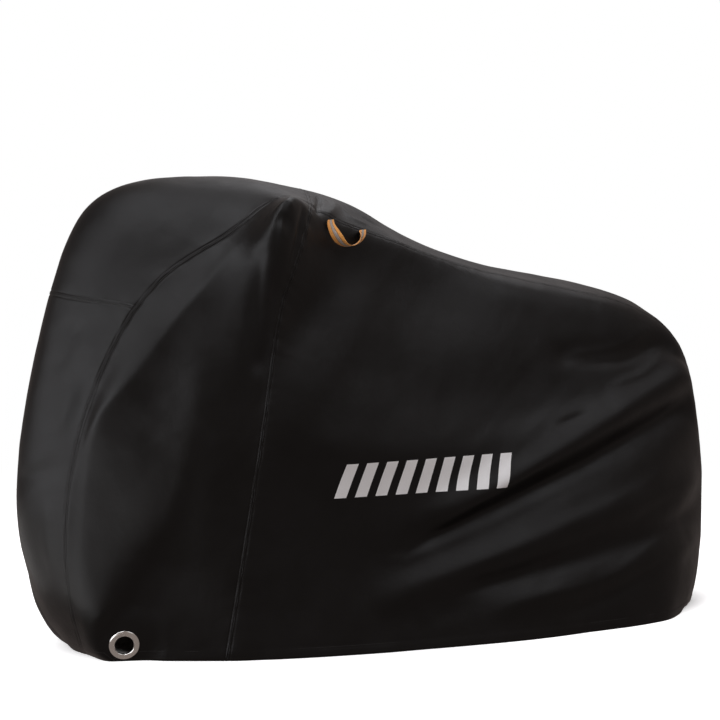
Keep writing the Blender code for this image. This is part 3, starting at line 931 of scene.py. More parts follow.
class NodeSketch:
    """Short calls for laying out a material's nodes."""

    def __init__(self, name: str) -> None:
        """A new material with only a Principled shader and an output."""
        self.material = bpy.data.materials.new(name)
        self.material.use_nodes = True
        self.tree = self.material.node_tree
        self.shader = self.tree.nodes["Principled BSDF"]

    def add(self, kind: str, links: dict[str | int, Socket] | None = None, **values: object) -> bpy.types.Node:
        """A node with its properties and sockets set.

        Args:
            kind: the node's type.
            links: sockets to feed, by name or number.
            values: node properties, or sockets' values by their lower-case names.

        Returns:
            The node.
        """
        node = self.tree.nodes.new(kind)
        for key, value in values.items():
            socket = key.replace("_", " ").title()
            if hasattr(node, key):
                setattr(node, key, value)
            else:
                node.inputs[socket].default_value = value
        for key, source in (links or {}).items():
            self.tree.links.new(source, node.inputs[key])
        return node

    def math(self, operation: str, first: object, second: object = None) -> Socket:
        """Works out one Math node.

        Args:
            operation: the node's operation.
            first: a socket or a number.
            second: a socket or a number, for an operation that takes two.

        Returns:
            The result's socket.
        """
        node = self.add("ShaderNodeMath", operation=operation)
        for i, operand in enumerate((first, second)):
            if isinstance(operand, Socket):
                self.tree.links.new(operand, node.inputs[i])
            elif operand is not None:
                node.inputs[i].default_value = operand
        return node.outputs[0]

    def ramp(self, source: Socket, low: float, high: float, start: float = 0.0, end: float = 1.0) -> Socket:
        """A value mapped smoothly from one range to another.

        Args:
            source: the value.
            low: where its range starts.
            high: where its range ends.
            start: the result at low.
            end: the result at high.

        Returns:
            The result's socket.
        """
        node = self.add("ShaderNodeMapRange", {0: source}, interpolation_type="SMOOTHSTEP")
        for i, value in enumerate((low, high, start, end), start=1):
            node.inputs[i].default_value = value
        return node.outputs[0]

    def blend(self, factor: Socket, first: object, second: object) -> Socket:
        """Mixes two colours.

        Args:
            factor: 0 for the first colour and 1 for the second.
            first: a socket or three numbers.
            second: a socket or three numbers.

        Returns:
            The mixed colour's socket.
        """
        node = self.tree.nodes.new("ShaderNodeMix")
        node.data_type = "RGBA"
        self.tree.links.new(factor, node.inputs["Factor"])
        for socket, value in ((node.inputs[6], first), (node.inputs[7], second)):
            if isinstance(value, Socket):
                self.tree.links.new(value, socket)
            else:
                socket.default_value = (*value, 1.0)
        return node.outputs[2]

    def bump(self, height: Socket, strength: float, distance: float, under: Socket | None = None) -> Socket:
        """Lays one Bump node.

        Args:
            height: the relief.
            strength: how much of it shows.
            distance: its height in metres.
            under: the normal that it lies on, if there is one.

        Returns:
            The normal's socket.
        """
        node = self.add("ShaderNodeBump", {"Height": height}, strength=strength, distance=distance)
        if under:
            self.tree.links.new(under, node.inputs["Normal"])
        return node.outputs[0]

    def set(self, **values: object) -> None:
        """Sets the shader's sockets.

        Args:
            values: values or other nodes' sockets, by the lower-case names of the shader's sockets.
        """
        for key, value in values.items():
            socket = self.shader.inputs[key.replace("_", " ").title().replace("Ior", "IOR")]
            if isinstance(value, Socket):
                self.tree.links.new(value, socket)
            else:
                socket.default_value = value


@dataclass(frozen=True)
class PrintBars:
    """A row of slanted reflective bars, in the side's own x and height."""

    start_x: float = -0.105
    end_x: float = -0.568
    low_z: float = -0.722
    high_z: float = -0.644
    slant: float = 0.35
    count: int = 9
    fill: float = 0.58

    def mask(self, sketch: NodeSketch) -> Socket:
        """1 on the bars and 0 off them.

        The place along the row is (start - x - slant * height) / length, and the bars are where the
        fraction of place * count is under the fill.

        Args:
            sketch: the material's nodes.

        Returns:
            The mask's socket.
        """
        place = sketch.add("ShaderNodeTexCoord").outputs["Object"]
        split = sketch.add("ShaderNodeSeparateXYZ", {0: place})
        x, y, z = split.outputs
        height = sketch.math("SUBTRACT", z, self.low_z)
        along = sketch.math("SUBTRACT", self.start_x, x)
        leaning = sketch.math("SUBTRACT", along, sketch.math("MULTIPLY", height, self.slant))
        share = sketch.math("DIVIDE", leaning, self.start_x - self.end_x)
        within = sketch.math("MULTIPLY", sketch.math("GREATER_THAN", share, 0.0), sketch.math("LESS_THAN", share, 1.0))
        turn = sketch.math("FRACT", sketch.math("MULTIPLY", share, float(self.count)))
        stripe = sketch.math("LESS_THAN", turn, self.fill)
        top = sketch.math("LESS_THAN", z, self.high_z)
        bottom = sketch.math("GREATER_THAN", z, self.low_z)
        out = sketch.math("GREATER_THAN", y, 0.0)
        mask = sketch.math("MULTIPLY", within, stripe)
        for part in (top, bottom, out):
            mask = sketch.math("MULTIPLY", mask, part)
        return mask


@dataclass(frozen=True)
class CoatedTaffeta:
    """Black coated polyester taffeta: a fine rib, a low sheen that varies, and small crinkles."""

    name: str
    color: Triple = (0.0040, 0.0036, 0.0034)
    worn: Triple = (0.0050, 0.0045, 0.0044)
    broad_scale: float = 9.0
    small_scale: float = 46.0
    worn_range: tuple[float, float] = (0.35, 0.70)
    rough_range: tuple[float, float] = (0.30, 0.70)
    roughness: tuple[float, float] = (0.36, 0.46)
    specular: float = 0.23
    rib_pitch: float = 0.0011
    warp_share: float = 0.35
    rib: tuple[float, float] = (0.16, 0.00012)
    crinkle: tuple[float, float] = (0.35, 0.0016)
    fleck_scale: float = 900.0
    ink: tuple[Triple, Triple] = ((0.70, 0.70, 0.70), (0.86, 0.86, 0.86))
    ink_roughness: float = 0.08
    ink_edge: tuple[float, float] = (0.5, 0.0002)
    print_bars: PrintBars | None = None

    def build(self) -> bpy.types.Material:
        """Lays the finish on the cloth's own UV map, in metres, and on object coordinates.

        Returns:
            The material.
        """
        sketch = NodeSketch(self.name)
        place = sketch.add("ShaderNodeTexCoord").outputs["Object"]
        flat = sketch.add("ShaderNodeUVMap", uv_map="flat").outputs[0]
        broad = sketch.add("ShaderNodeTexNoise", {"Vector": place}, scale=self.broad_scale, detail=4.0, roughness=0.55)
        small = sketch.add("ShaderNodeTexNoise", {"Vector": place}, scale=self.small_scale, detail=5.0, roughness=0.60)
        color = sketch.blend(sketch.ramp(broad.outputs[0], *self.worn_range), self.color, self.worn)
        rough = sketch.ramp(broad.outputs[0], *self.rough_range, *self.roughness)
        scaled = sketch.add("ShaderNodeMapping", {"Vector": flat})
        scaled.inputs["Scale"].default_value = (1.0 / self.rib_pitch, 1.0 / self.rib_pitch, 1.0)
        split = sketch.add("ShaderNodeSeparateXYZ", {0: scaled.outputs[0]})
        warp = sketch.math("SINE", sketch.math("MULTIPLY", split.outputs[0], 2.0 * np.pi))
        weft = sketch.math("SINE", sketch.math("MULTIPLY", split.outputs[1], 2.0 * np.pi))
        weave = sketch.math("ADD", sketch.math("MULTIPLY", warp, self.warp_share), weft)
        normal = sketch.bump(weave, *self.rib, sketch.bump(small.outputs[0], *self.crinkle))
        if self.print_bars:
            mask = self.print_bars.mask(sketch)
            fleck = sketch.add("ShaderNodeTexNoise", {"Vector": place}, scale=self.fleck_scale, detail=2.0)
            color = sketch.blend(mask, color, sketch.blend(fleck.outputs[0], *self.ink))
            rough = sketch.math("ADD", rough, sketch.math("MULTIPLY", mask, self.ink_roughness))
            normal = sketch.bump(mask, *self.ink_edge, normal)
        sketch.set(base_color=color, roughness=rough, normal=normal, specular_ior_level=self.specular)
        return sketch.material


@dataclass(frozen=True)
class Nickel:
    """Polished nickel plate with fine scuffs."""

    name: str = "nickel_plate"
    color: Triple = (0.83, 0.82, 0.79)
    tarnish: Triple = (0.62, 0.60, 0.56)
    tarnish_most: float = 0.35
    tarnish_scale: float = 60.0
    tarnish_range: tuple[float, float] = (0.40, 0.75)
    roughness: tuple[float, float] = (0.16, 0.30)
    scuff_scale: float = 420.0
    scuff_range: tuple[float, float] = (0.35, 0.75)
    scuff: tuple[float, float] = (0.12, 0.0002)

    def build(self) -> bpy.types.Material:
        """Lays the finish, with scuffs from fine noise on object coordinates.

        Returns:
            The material.
        """
        sketch = NodeSketch(self.name)
        place = sketch.add("ShaderNodeTexCoord").outputs["Object"]
        scuff = sketch.add("ShaderNodeTexNoise", {"Vector": place}, scale=self.scuff_scale, detail=6.0, roughness=0.7)
        dull = sketch.add("ShaderNodeTexNoise", {"Vector": place}, scale=self.tarnish_scale, detail=3.0)
        rough = sketch.ramp(scuff.outputs[0], *self.scuff_range, *self.roughness)
        shade = sketch.ramp(dull.outputs[0], *self.tarnish_range, 0.0, self.tarnish_most)
        color = sketch.blend(shade, self.color, self.tarnish)
        sketch.set(base_color=color, roughness=rough, metallic=1.0)
        sketch.set(normal=sketch.bump(scuff.outputs[0], *self.scuff))
        return sketch.material


@dataclass(frozen=True)
class StripedWebbing:
    """Woven webbing: orange edges and a pale grey stripe down the middle, with thin dark lines between."""

    name: str = "striped_webbing"
    orange: Triple = (0.90, 0.40, 0.095)
    pale: Triple = (0.42, 0.38, 0.34)
    line: Triple = (0.10, 0.060, 0.040)
    # painted shade in the rib's grooves: its colour, how much of it, and over which rib values
    groove_shade: Triple = (0.16, 0.06, 0.02)
    groove_shade_most: float = 0.35
    groove_shade_range: tuple[float, float] = (-1.0, 0.3)
    stripe: float = 0.16
    stripe_blur: float = 0.012
    line_most: float = 0.8
    line_edges: tuple[float, float] = (0.030, 0.012)
    pitch: float = 0.0017
    lean: float = 42.0
    rib: tuple[float, float] = (0.6, 0.0004)
    fuzz: tuple[float, float] = (0.2, 0.0003)
    fuzz_scale: float = 700.0

    def build(self) -> bpy.types.Material:
        """Lays the finish on the webbing's UV map: across from 0 to 1, and along in metres.

        Returns:
            The material.
        """
        sketch = NodeSketch(self.name)
        flat = sketch.add("ShaderNodeUVMap", uv_map="flat").outputs[0]
        split = sketch.add("ShaderNodeSeparateXYZ", {0: flat})
        middle = sketch.math("ABSOLUTE", sketch.math("SUBTRACT", split.outputs[0], 0.5))
        pale = sketch.ramp(middle, self.stripe + self.stripe_blur, self.stripe - self.stripe_blur)
        edge = sketch.math("ABSOLUTE", sketch.math("SUBTRACT", middle, self.stripe))
        line = sketch.ramp(edge, *self.line_edges, 0.0, self.line_most)
        turns = sketch.math("MULTIPLY", split.outputs[1], 2.0 * np.pi / self.pitch)
        rib = sketch.math("SINE", sketch.math("ADD", turns, sketch.math("MULTIPLY", middle, self.lean)))
        place = sketch.add("ShaderNodeTexCoord").outputs["Object"]
        fuzz = sketch.add("ShaderNodeTexNoise", {"Vector": place}, scale=self.fuzz_scale, detail=3.0)
        color = sketch.blend(line, sketch.blend(pale, self.orange, self.pale), self.line)
        # painted shade: the colour darkens in the rib's grooves, along the same sine as the bump
        color = sketch.blend(sketch.ramp(rib, *self.groove_shade_range, self.groove_shade_most, 0.0), color, self.groove_shade)
        normal = sketch.bump(fuzz.outputs[0], *self.fuzz, sketch.bump(rib, *self.rib))
        sketch.set(base_color=color, roughness=0.72, normal=normal, specular_ior_level=0.3)
        sketch.set(sheen_weight=0.25, sheen_roughness=0.4)
        return sketch.material


@dataclass(frozen=True)
class Thread:
    """Black sewing thread with a slight gloss, and a painted sheen of brighter flecks in its colour."""

    name: str = "sewing_thread"
    color: Triple = (0.016, 0.015, 0.015)
    painted_sheen_gain: float = 2.2
    ply_scale: float = 1500.0
    ply: tuple[float, float] = (0.4, 0.0002)

    def build(self) -> bpy.types.Material:
        """Lays the finish, with a painted sheen: its colour brightened by fine noise.

        Returns:
            The material.
        """
        sketch = NodeSketch(self.name)
        place = sketch.add("ShaderNodeTexCoord").outputs["Object"]
        ply = sketch.add("ShaderNodeTexNoise", {"Vector": place}, scale=self.ply_scale, detail=2.0)
        # painted sheen: fine noise brightens the thread's colour up to the gain times
        color = sketch.blend(ply.outputs[0], self.color, tuple(self.painted_sheen_gain * c for c in self.color))
        sketch.set(base_color=color, roughness=0.5, normal=sketch.bump(ply.outputs[0], *self.ply))
        return sketch.material


@dataclass(frozen=True)
class ClothPanel:
    """One panel of the cover between two places in u and two in v, as a thin closed sheet.

    Its rows and columns crowd towards the seams, at fixed distances from them, and share the rest evenly.
    """

    name: str
    nodes: tuple[str, ...]
    u_range: tuple[float, float]
    v_range: tuple[float, float]
    rows: int
    columns: int
    flat: tuple[float, float]
    area: float
    joint_edges: tuple[bool, bool]
    seam_edges: tuple[bool, bool]
    thickness: float = 0.0012
    samples: tuple[int, int] = (400, 300)
    near: tuple[float, ...] = (
        0.0, 0.0016, 0.0030, 0.0040, 0.0050, 0.0060, 0.0072, 0.0090, 0.0115, 0.0145, 0.0180, 0.0225, 0.028, 0.034,
    )
    eyelet_cut: float = 0.0285

    def spaced(self, count: int, length: Array, edges: tuple[bool, bool]) -> Array:
        """Distances of a row of lines: fixed near each seamed edge, and even between.

        Args:
            count: how many lines there are.
            length: the whole distance, one for each crossing line.
            edges: whether the first and the last edge are seams that call for fine lines.

        Returns:
            Distances, one row for each length.
        """
        near = np.array(self.near)
        first = near if edges[0] else near[:1]
        last = near if edges[1] else near[:1]
        share = np.linspace(0.0, 1.0, count - len(first) - len(last) + 2)[1:-1]
        length = np.asarray(length, float)[:, None]
        middle = first[-1] + (length - first[-1] - last[-1]) * share
        return np.hstack((np.tile(first, (len(length), 1)), middle, length - last[::-1]))

    def grid(self, surface: CoverSurface) -> tuple[Array, Array, Array]:
        """The panel's places.

        Args:
            surface: the drape.

        Returns:
            u and v of each grid point, and its flat place in metres.
        """
        fine_u = np.linspace(*self.u_range, self.samples[0])
        fine_v = np.linspace(*self.v_range, self.samples[1])
        middle = sum(self.v_range) / 2.0
        _, _, reach_u, _ = surface.drape(fine_u, middle)
        run_u = np.concatenate(((0.0,), np.cumsum((reach_u[1:] + reach_u[:-1]) / 2.0 * np.diff(fine_u))))
        rows = self.spaced(self.rows, run_u[-1:], self.joint_edges)[0]
        u_rows = np.interp(rows, run_u, fine_u)
        _, _, _, reach_v = surface.drape(u_rows[:, None], fine_v[None])
        run_v = np.cumsum((reach_v[:, 1:] + reach_v[:, :-1]) / 2.0 * np.diff(fine_v), axis=1)
        run_v = np.hstack((np.zeros((self.rows, 1)), run_v))
        columns = self.spaced(self.columns, run_v[:, -1], self.seam_edges)
        v = np.stack([np.interp(column, run, fine_v) for column, run in zip(columns, run_v)])
        u = np.repeat(u_rows[:, None], self.columns, axis=1)
        for first, seamed in zip((True, False), self.joint_edges):
            if seamed:
                u = self.even_rows(surface, u, v, first)
        return u, v, np.stack((np.repeat(rows[:, None], self.columns, axis=1), columns), -1)

    def even_rows(self, surface: CoverSurface, u: Array, v: Array, first: bool) -> Array:
        """Moves the rows near a seam that crosses the cover, so each lies at its own distance all along it.

        Args:
            surface: the drape.
            u: places over the cover, one for each grid point.
            v: places across it.
            first: whether the seam is the panel's first edge, rather than its last.

        Returns:
            The moved u.
        """
        edge = 0 if first else -1
        _, _, reach, _ = surface.drape(u[edge], v[edge])
        near = np.array(self.near)
        sign = 1.0 if first else -1.0
        wanted = u[edge][None] + sign * near[:, None] / reach[None]
        rows = np.arange(len(near)) if first else len(u) - 1 - np.arange(len(near))
        last = rows[-1]
        shift = wanted[-1] - u[last]
        far = u[-1] if first else u[0]
        span = far - u[last]
        other = slice(last + 1, None) if first else slice(0, last)
        u = u.copy()
        u[other] += shift * (1.0 - (u[other] - u[last]) / span)
        u[rows] = wanted
        return u

    def build(self, cloth: Cloth) -> bpy.types.Object:
        """The panel's mesh: an outer layer, an inner one and rims, with a hole under the eyelet.

        Args:
            cloth: the finished cloth surface.

        Returns:
            The piece.
        """
        u, v, flat = self.grid(cloth.surface)
        outer, normals = cloth.at(u, v)
        inner = outer - self.thickness * normals
        centres = (outer[1:, 1:] + outer[:-1, :-1]) / 2.0
        kept = cloth.surface.eyelet_distance(centres) > self.eyelet_cut
        index = np.arange(u.size).reshape(u.shape)
        a, b, c, d = index[:-1, :-1], index[:-1, 1:], index[1:, 1:], index[1:, :-1]
        quads = np.stack((a, b, c, d), -1)
        walls = []
        padded = np.pad(kept, 1)
        for start, end, neighbour in (
            (a, b, padded[:-2, 1:-1]), (b, c, padded[1:-1, 2:]), (c, d, padded[2:, 1:-1]), (d, a, padded[1:-1, :-2]),
        ):
            open_edge = kept & ~neighbour
            start, end = start[open_edge], end[open_edge]
            walls.append(np.stack((end, start, start + u.size, end + u.size), -1))
        faces = np.vstack((quads[kept], quads[kept][:, ::-1] + u.size, *walls))
        points = np.vstack((outer.reshape(-1, 3), inner.reshape(-1, 3)))
        used, faces = np.unique(faces, return_inverse=True)
        faces = faces.reshape(-1, 4)
        uv = np.vstack((flat.reshape(-1, 2), flat.reshape(-1, 2)))[used]
        return lay_mesh(self.name, points[used], faces, uv)

    def dress(self, piece: bpy.types.Object, taffeta: bpy.types.Material) -> None:
        """Gives the panel its cloth, and hides the solids it was cut from."""
        finish_piece(piece, taffeta, "cover_cloth", *self.nodes)


@dataclass(frozen=True)
class StitchRows:
    """Rows of short stitches laid in the cloth, each a small rounded bar."""

    pitch: float = 0.0040
    length: float = 0.0029
    radius: float = 0.00032
    sides: int = 5
    proud: float = 0.4
    seam_ends: float = 0.026
    hem_samples: int = 4000
    hem_inset: float = 0.12
    inset_steps: int = 30
    inset_share: float = 0.6
    profile: tuple[tuple[float, float], ...] = ((-1.0, 0.35), (-0.55, 1.0), (0.55, 1.0), (1.0, 0.35))

    def build(self, name: str, cloth: Cloth, rows: Sequence[tuple[Array, Array]]) -> bpy.types.Object:
        """One piece with every stitch of some rows.

        Each stitch is a bar of a few sides round the line between two places on the cloth.

        Args:
            name: the piece's name.
            cloth: the finished cloth surface.
            rows: u and v along each row, one place for each stitch's middle.

        Returns:
            The piece.
        """
        points, faces, count = [], [], 0
        turns = np.arange(self.sides) * 2.0 * np.pi / self.sides
        for u, v in rows:
            middle, normal = cloth.at(u, v)
            travel = unit(np.gradient(middle, axis=0))
            aside = unit(np.cross(normal, travel))
            lift = unit(np.cross(travel, aside))
            middle = middle + lift * self.radius * self.proud
            reach, width = np.array(self.profile).T
            spine = middle[:, None] + travel[:, None] * (reach * self.length / 2.0)[None, :, None]
            ring = np.cos(turns)[:, None] * aside[:, None, None] + np.sin(turns)[:, None] * lift[:, None, None]
            bars = spine[:, :, None] + ring * (width * self.radius)[None, :, None, None]
            points.append(bars.reshape(-1, 3))
            rings, sides = len(self.profile), self.sides
            index = np.arange(rings * sides).reshape(rings, sides)
            turned = np.roll(index, -1, axis=1)
            side = np.stack((index[:-1], turned[:-1], turned[1:], index[1:]), -1).reshape(-1, 4)
            caps = []
            for cap, order in ((index[0], -1), (index[-1], 1)):
                cap = cap[::order]
                caps += [(cap[0], cap[1], cap[2], cap[3]), (cap[0], cap[3], cap[4], cap[4])]
            local = np.vstack((side, np.array(caps)))
            starts = count + np.arange(len(u)) * rings * sides
            faces.append((starts[:, None, None] + local[None]).reshape(-1, 4))
            count += len(u) * rings * sides
        return lay_mesh(name, np.vstack(points), np.vstack(faces))

    def dress(self, piece: bpy.types.Object, thread: bpy.types.Material) -> None:
        """Gives a row of stitches its thread."""
        finish_piece(piece, thread, "cover_cloth")

    def hem_row(self, surface: CoverSurface, height: float) -> tuple[Array, Array]:
        """The places at one height above the floor, all round the hem.

        From each place on the edge of the surface's rectangle the row steps inwards until it is that high.

        Args:
            surface: the drape.
            height: how high the row is.

        Returns:
            u and v of each stitch's middle.
        """
        turns = np.linspace(0.0, 2.0 * np.pi, self.hem_samples)
        half_u = surface.rear_u / 2.0
        direction = np.stack((np.cos(turns), np.sin(turns)), -1)
        direction /= np.abs(direction).max(-1, keepdims=True)
        inset = np.linspace(0.0, self.hem_inset, self.inset_steps)
        u = half_u + half_u * direction[:, :1] * (1.0 - inset * self.inset_share)
        v = surface.hem_v * direction[:, 1:] * (1.0 - inset * self.inset_share)
        z = surface.drape(u, v)[0][..., 2] - surface.floor
        share = np.array([np.interp(height, row, inset) for row in z])
        u = half_u + half_u * direction[:, 0] * (1.0 - share * self.inset_share)
        v = surface.hem_v * direction[:, 1] * (1.0 - share * self.inset_share)
        run = run_length(surface.drape(u, v)[0])
        stops = np.arange(self.pitch / 2.0, run[-1] - self.pitch / 2.0, self.pitch)
        return np.interp(stops, run, u), np.interp(stops, run, v)

    def seam_rows(self, seam: Seam) -> list[tuple[Array, Array]]:
        """Two rows, one in each groove of a seam."""
        stops = np.arange(self.seam_ends, seam.length - self.seam_ends, self.pitch)
        return [seam.beside(stops, side * seam.band) for side in (-1.0, 1.0)]


@dataclass(frozen=True)
class Eyelet:
    """A two-part metal eyelet turned about its axis: domed flange outside, barrel and flat washer inside."""

    outer_r: float = 0.035
    hole_r: float = 0.022
    lift: float = 0.0005
    barrel_wall: float = 0.0010
    washer_inset: float = 0.0015
    washer: float = 0.0010
    cloth: float = 0.002
    segments: int = 96
    sharp_degrees: float = 50.0
    dome: tuple[tuple[float, float], ...] = (
        (0.0000, -0.0010), (0.0001, 0.0008), (0.0006, 0.0019), (0.0015, 0.0027), (0.0028, 0.0033), (0.0045, 0.0037),
        (0.0065, 0.0038), (0.0085, 0.0035), (0.0105, 0.0028), (0.0118, 0.0021), (0.0127, 0.0013), (0.0130, 0.0008),
    )

    @property
    def profile(self) -> Array:
        """The outline of its section as radius and height off the cloth, once round."""
        back = -self.cloth - self.lift
        washer_r = self.outer_r - self.washer_inset
        rows = (
            (self.hole_r + 0.0002, back - self.washer), (self.hole_r, back - self.washer + 0.0004),
            *((self.hole_r + out, height) for out, height in self.dome),
            (self.outer_r - 0.0001, self.lift), (self.hole_r + self.barrel_wall, self.lift),
            (self.hole_r + self.barrel_wall, back), (washer_r - 0.0002, back), (washer_r, back - 0.0003),
            (washer_r, back - self.washer + 0.0003), (washer_r - 0.0003, back - self.washer),
        )
        return np.array(rows)

    def build(self, name: str, surface: CoverSurface, side: Side) -> bpy.types.Object:
        """The ring: its section carried round the axis through the cloth's eyelet place.

        Args:
            name: the piece's name.
            surface: the drape.
            side: which side of the cover.

        Returns:
            The piece.
        """
        centre, normal = surface.eyelets[side]
        right = unit(np.cross((0.0, 0.0, 1.0), normal))
        up = np.cross(normal, right)
        radius, height = self.profile.T
        turns = np.arange(self.segments) * 2.0 * np.pi / self.segments
        spokes = np.cos(turns)[:, None] * right + np.sin(turns)[:, None] * up
        points = centre + spokes[:, None] * radius[None, :, None] + normal * height[None, :, None]
        index = np.arange(points[..., 0].size).reshape(points.shape[:2])
        beyond = np.roll(index, -1, axis=0)
        faces = np.stack((index, beyond, np.roll(beyond, -1, axis=1), np.roll(index, -1, axis=1)), -1).reshape(-1, 4)
        piece = lay_mesh(name, points.reshape(-1, 3), faces)
        piece.data.set_sharp_from_angle(angle=np.radians(self.sharp_degrees))
        return piece

    def dress(self, piece: bpy.types.Object, side: Side, nickel: bpy.types.Material) -> None:
        """Gives the ring its metal, and hides that side's eyelet solid."""
        finish_piece(piece, nickel, "eyelet_metal", f"eyelet_{side.name.lower()}")


@dataclass(frozen=True)
class WebbingLoop:
    """A loop of striped webbing, both ends tucked in at the left gusset seam, edge-on at its lowest turn."""

    ends_u: tuple[float, float] = (9.06, 9.74)
    tops_v: tuple[float, float] = (0.10, 0.015)
    drop_v: float = 0.35
    width: float = 0.025
    thickness: float = 0.0016
    stand_off: float = 0.004
    clearance: float = 0.0006
    twist_ease: float = 1.5
    squareness: float = 0.85
    steps: int = 120
    outline: tuple[tuple[float, float], ...] = (
        (-1.00, -0.30), (-0.97, -0.80), (-0.90, -1.00), (-0.60, -1.00), (-0.33, -1.00), (-0.29, -0.80), (-0.25, -1.00),
        (0.00, -1.00), (0.25, -1.00), (0.29, -0.80), (0.33, -1.00), (0.60, -1.00), (0.90, -1.00), (0.97, -0.80),
        (1.00, -0.30), (1.00, 0.30), (0.97, 0.80), (0.90, 1.00), (0.60, 1.00), (0.33, 1.00), (0.29, 0.80),
        (0.25, 1.00), (0.00, 1.00), (-0.25, 1.00), (-0.29, 0.80), (-0.33, 1.00), (-0.60, 1.00), (-0.90, 1.00),
        (-0.97, 0.80), (-1.00, 0.30),
    )

    def build(self, name: str, surface: CoverSurface) -> bpy.types.Object:
        """The webbing's section carried along half an ellipse drawn on the cloth and lifted off it.

        Args:
            name: the piece's name.
            surface: the drape.

        Returns:
            The piece.
        """
        turns = np.linspace(0.0, np.pi, self.steps + 1)
        twist = np.pi / 2.0 * np.sin(turns) ** self.twist_ease
        lift = self.thickness / 2.0 + self.clearance + self.width / 2.0 * np.sin(twist)
        lift = lift + self.stand_off * np.sin(turns) ** 2
        u = sum(self.ends_u) / 2.0 - (self.ends_u[1] - self.ends_u[0]) / 2.0 * np.cos(turns)
        v = surface.seam_v + np.interp(u, self.ends_u, self.tops_v) + self.drop_v * np.sin(turns) ** self.squareness
        under, normal = surface.folded(u, v)
        middle = under + normal * lift[:, None]
        travel = unit(np.gradient(middle, axis=0))
        inner = unit(np.cross(normal, travel))
        half = self.steps // 2
        if inner[half] @ (middle[0] - middle[half]) < 0.0:
            inner = -inner
        level = unit(np.cross(normal, (0.0, 0.0, 1.0)))
        level = level * np.sign(np.sum(level * inner, -1, keepdims=True))
        square = (1.0 - np.sin(turns))[:, None] ** 2
        inner = unit(inner * (1.0 - square) + level * square)
        across = unit(np.cos(twist)[:, None] * inner + np.sin(twist)[:, None] * normal)
        face = np.cross(travel, across)
        a, b = (np.array(self.outline) * (self.width / 2.0, self.thickness / 2.0)).T
        points = middle[:, None] + across[:, None] * a[None, :, None] + face[:, None] * b[None, :, None]
        width_share = (np.array(self.outline)[:, 0] + 1.0) / 2.0
        uv = np.stack(np.broadcast_arrays(width_share[None], run_length(middle)[:, None]), -1)
        count = len(self.outline)
        index = np.arange(points[..., 0].size).reshape(-1, count)
        turned = np.roll(index, -1, axis=1)
        sides = np.stack((index[:-1], turned[:-1], turned[1:], index[1:]), -1).reshape(-1, 4)
        fold = np.arange(count // 2 - 1)
        cap = np.stack((fold, fold + 1, count - 2 - fold, count - 1 - fold), -1)
        faces = np.vstack((sides, index[0][cap][:, ::-1], index[-1][cap]))
        piece = lay_mesh(name, points.reshape(-1, 3), faces, uv.reshape(-1, 2))
        outward(piece)
        return piece

    def dress(self, piece: bpy.types.Object, webbing: bpy.types.Material) -> None:
        """Gives the loop its webbing."""
        finish_piece(piece, webbing, "loop_webbing", "webbing_loop")


def outward(piece: bpy.types.Object) -> None:
    """Turns a closed mesh's faces outwards, if the volume inside them comes out below 0.

    Args:
        piece: the closed mesh's object.
    """
    mesh = piece.data
    mesh.calc_loop_triangles()
    corners = np.empty(len(mesh.loop_triangles) * 3, np.int32)
    mesh.loop_triangles.foreach_get("vertices", corners)
    points = np.empty(len(mesh.vertices) * 3, np.float32)
    mesh.vertices.foreach_get("co", points)
    a, b, c = points.reshape(-1, 3)[corners.reshape(-1, 3)].transpose(1, 0, 2)
    centre = points.reshape(-1, 3).mean(0)
    if np.sum(np.cross(b - a, c - a) * (a - centre)) < 0.0:
        mesh.flip_normals()


@dataclass(frozen=True)
class Softbox:
    """One rectangular lamp: where it stands, its size and power, what it points at, and its colour."""

    name: str
    place: Triple
    size: tuple[float, float]
    power: float
    target: Triple = COVER_MIDDLE
    color: Triple = COOL_WHITE

    def build(self) -> None:
        """Adds the lamp to the scene."""
        lamp = bpy.data.lights.new(self.name, "AREA")
        lamp.shape = "RECTANGLE"
        lamp.size, lamp.size_y = self.size
        lamp.energy = self.power
        lamp.color = self.color
        thing = bpy.data.objects.new(self.name, lamp)
        thing.location = self.place
        thing.visible_camera = False
        away = Vector(self.place) - Vector(self.target)
        thing.rotation_euler = away.to_track_quat("Z", "Y").to_euler()
        bpy.context.scene.collection.objects.link(thing)


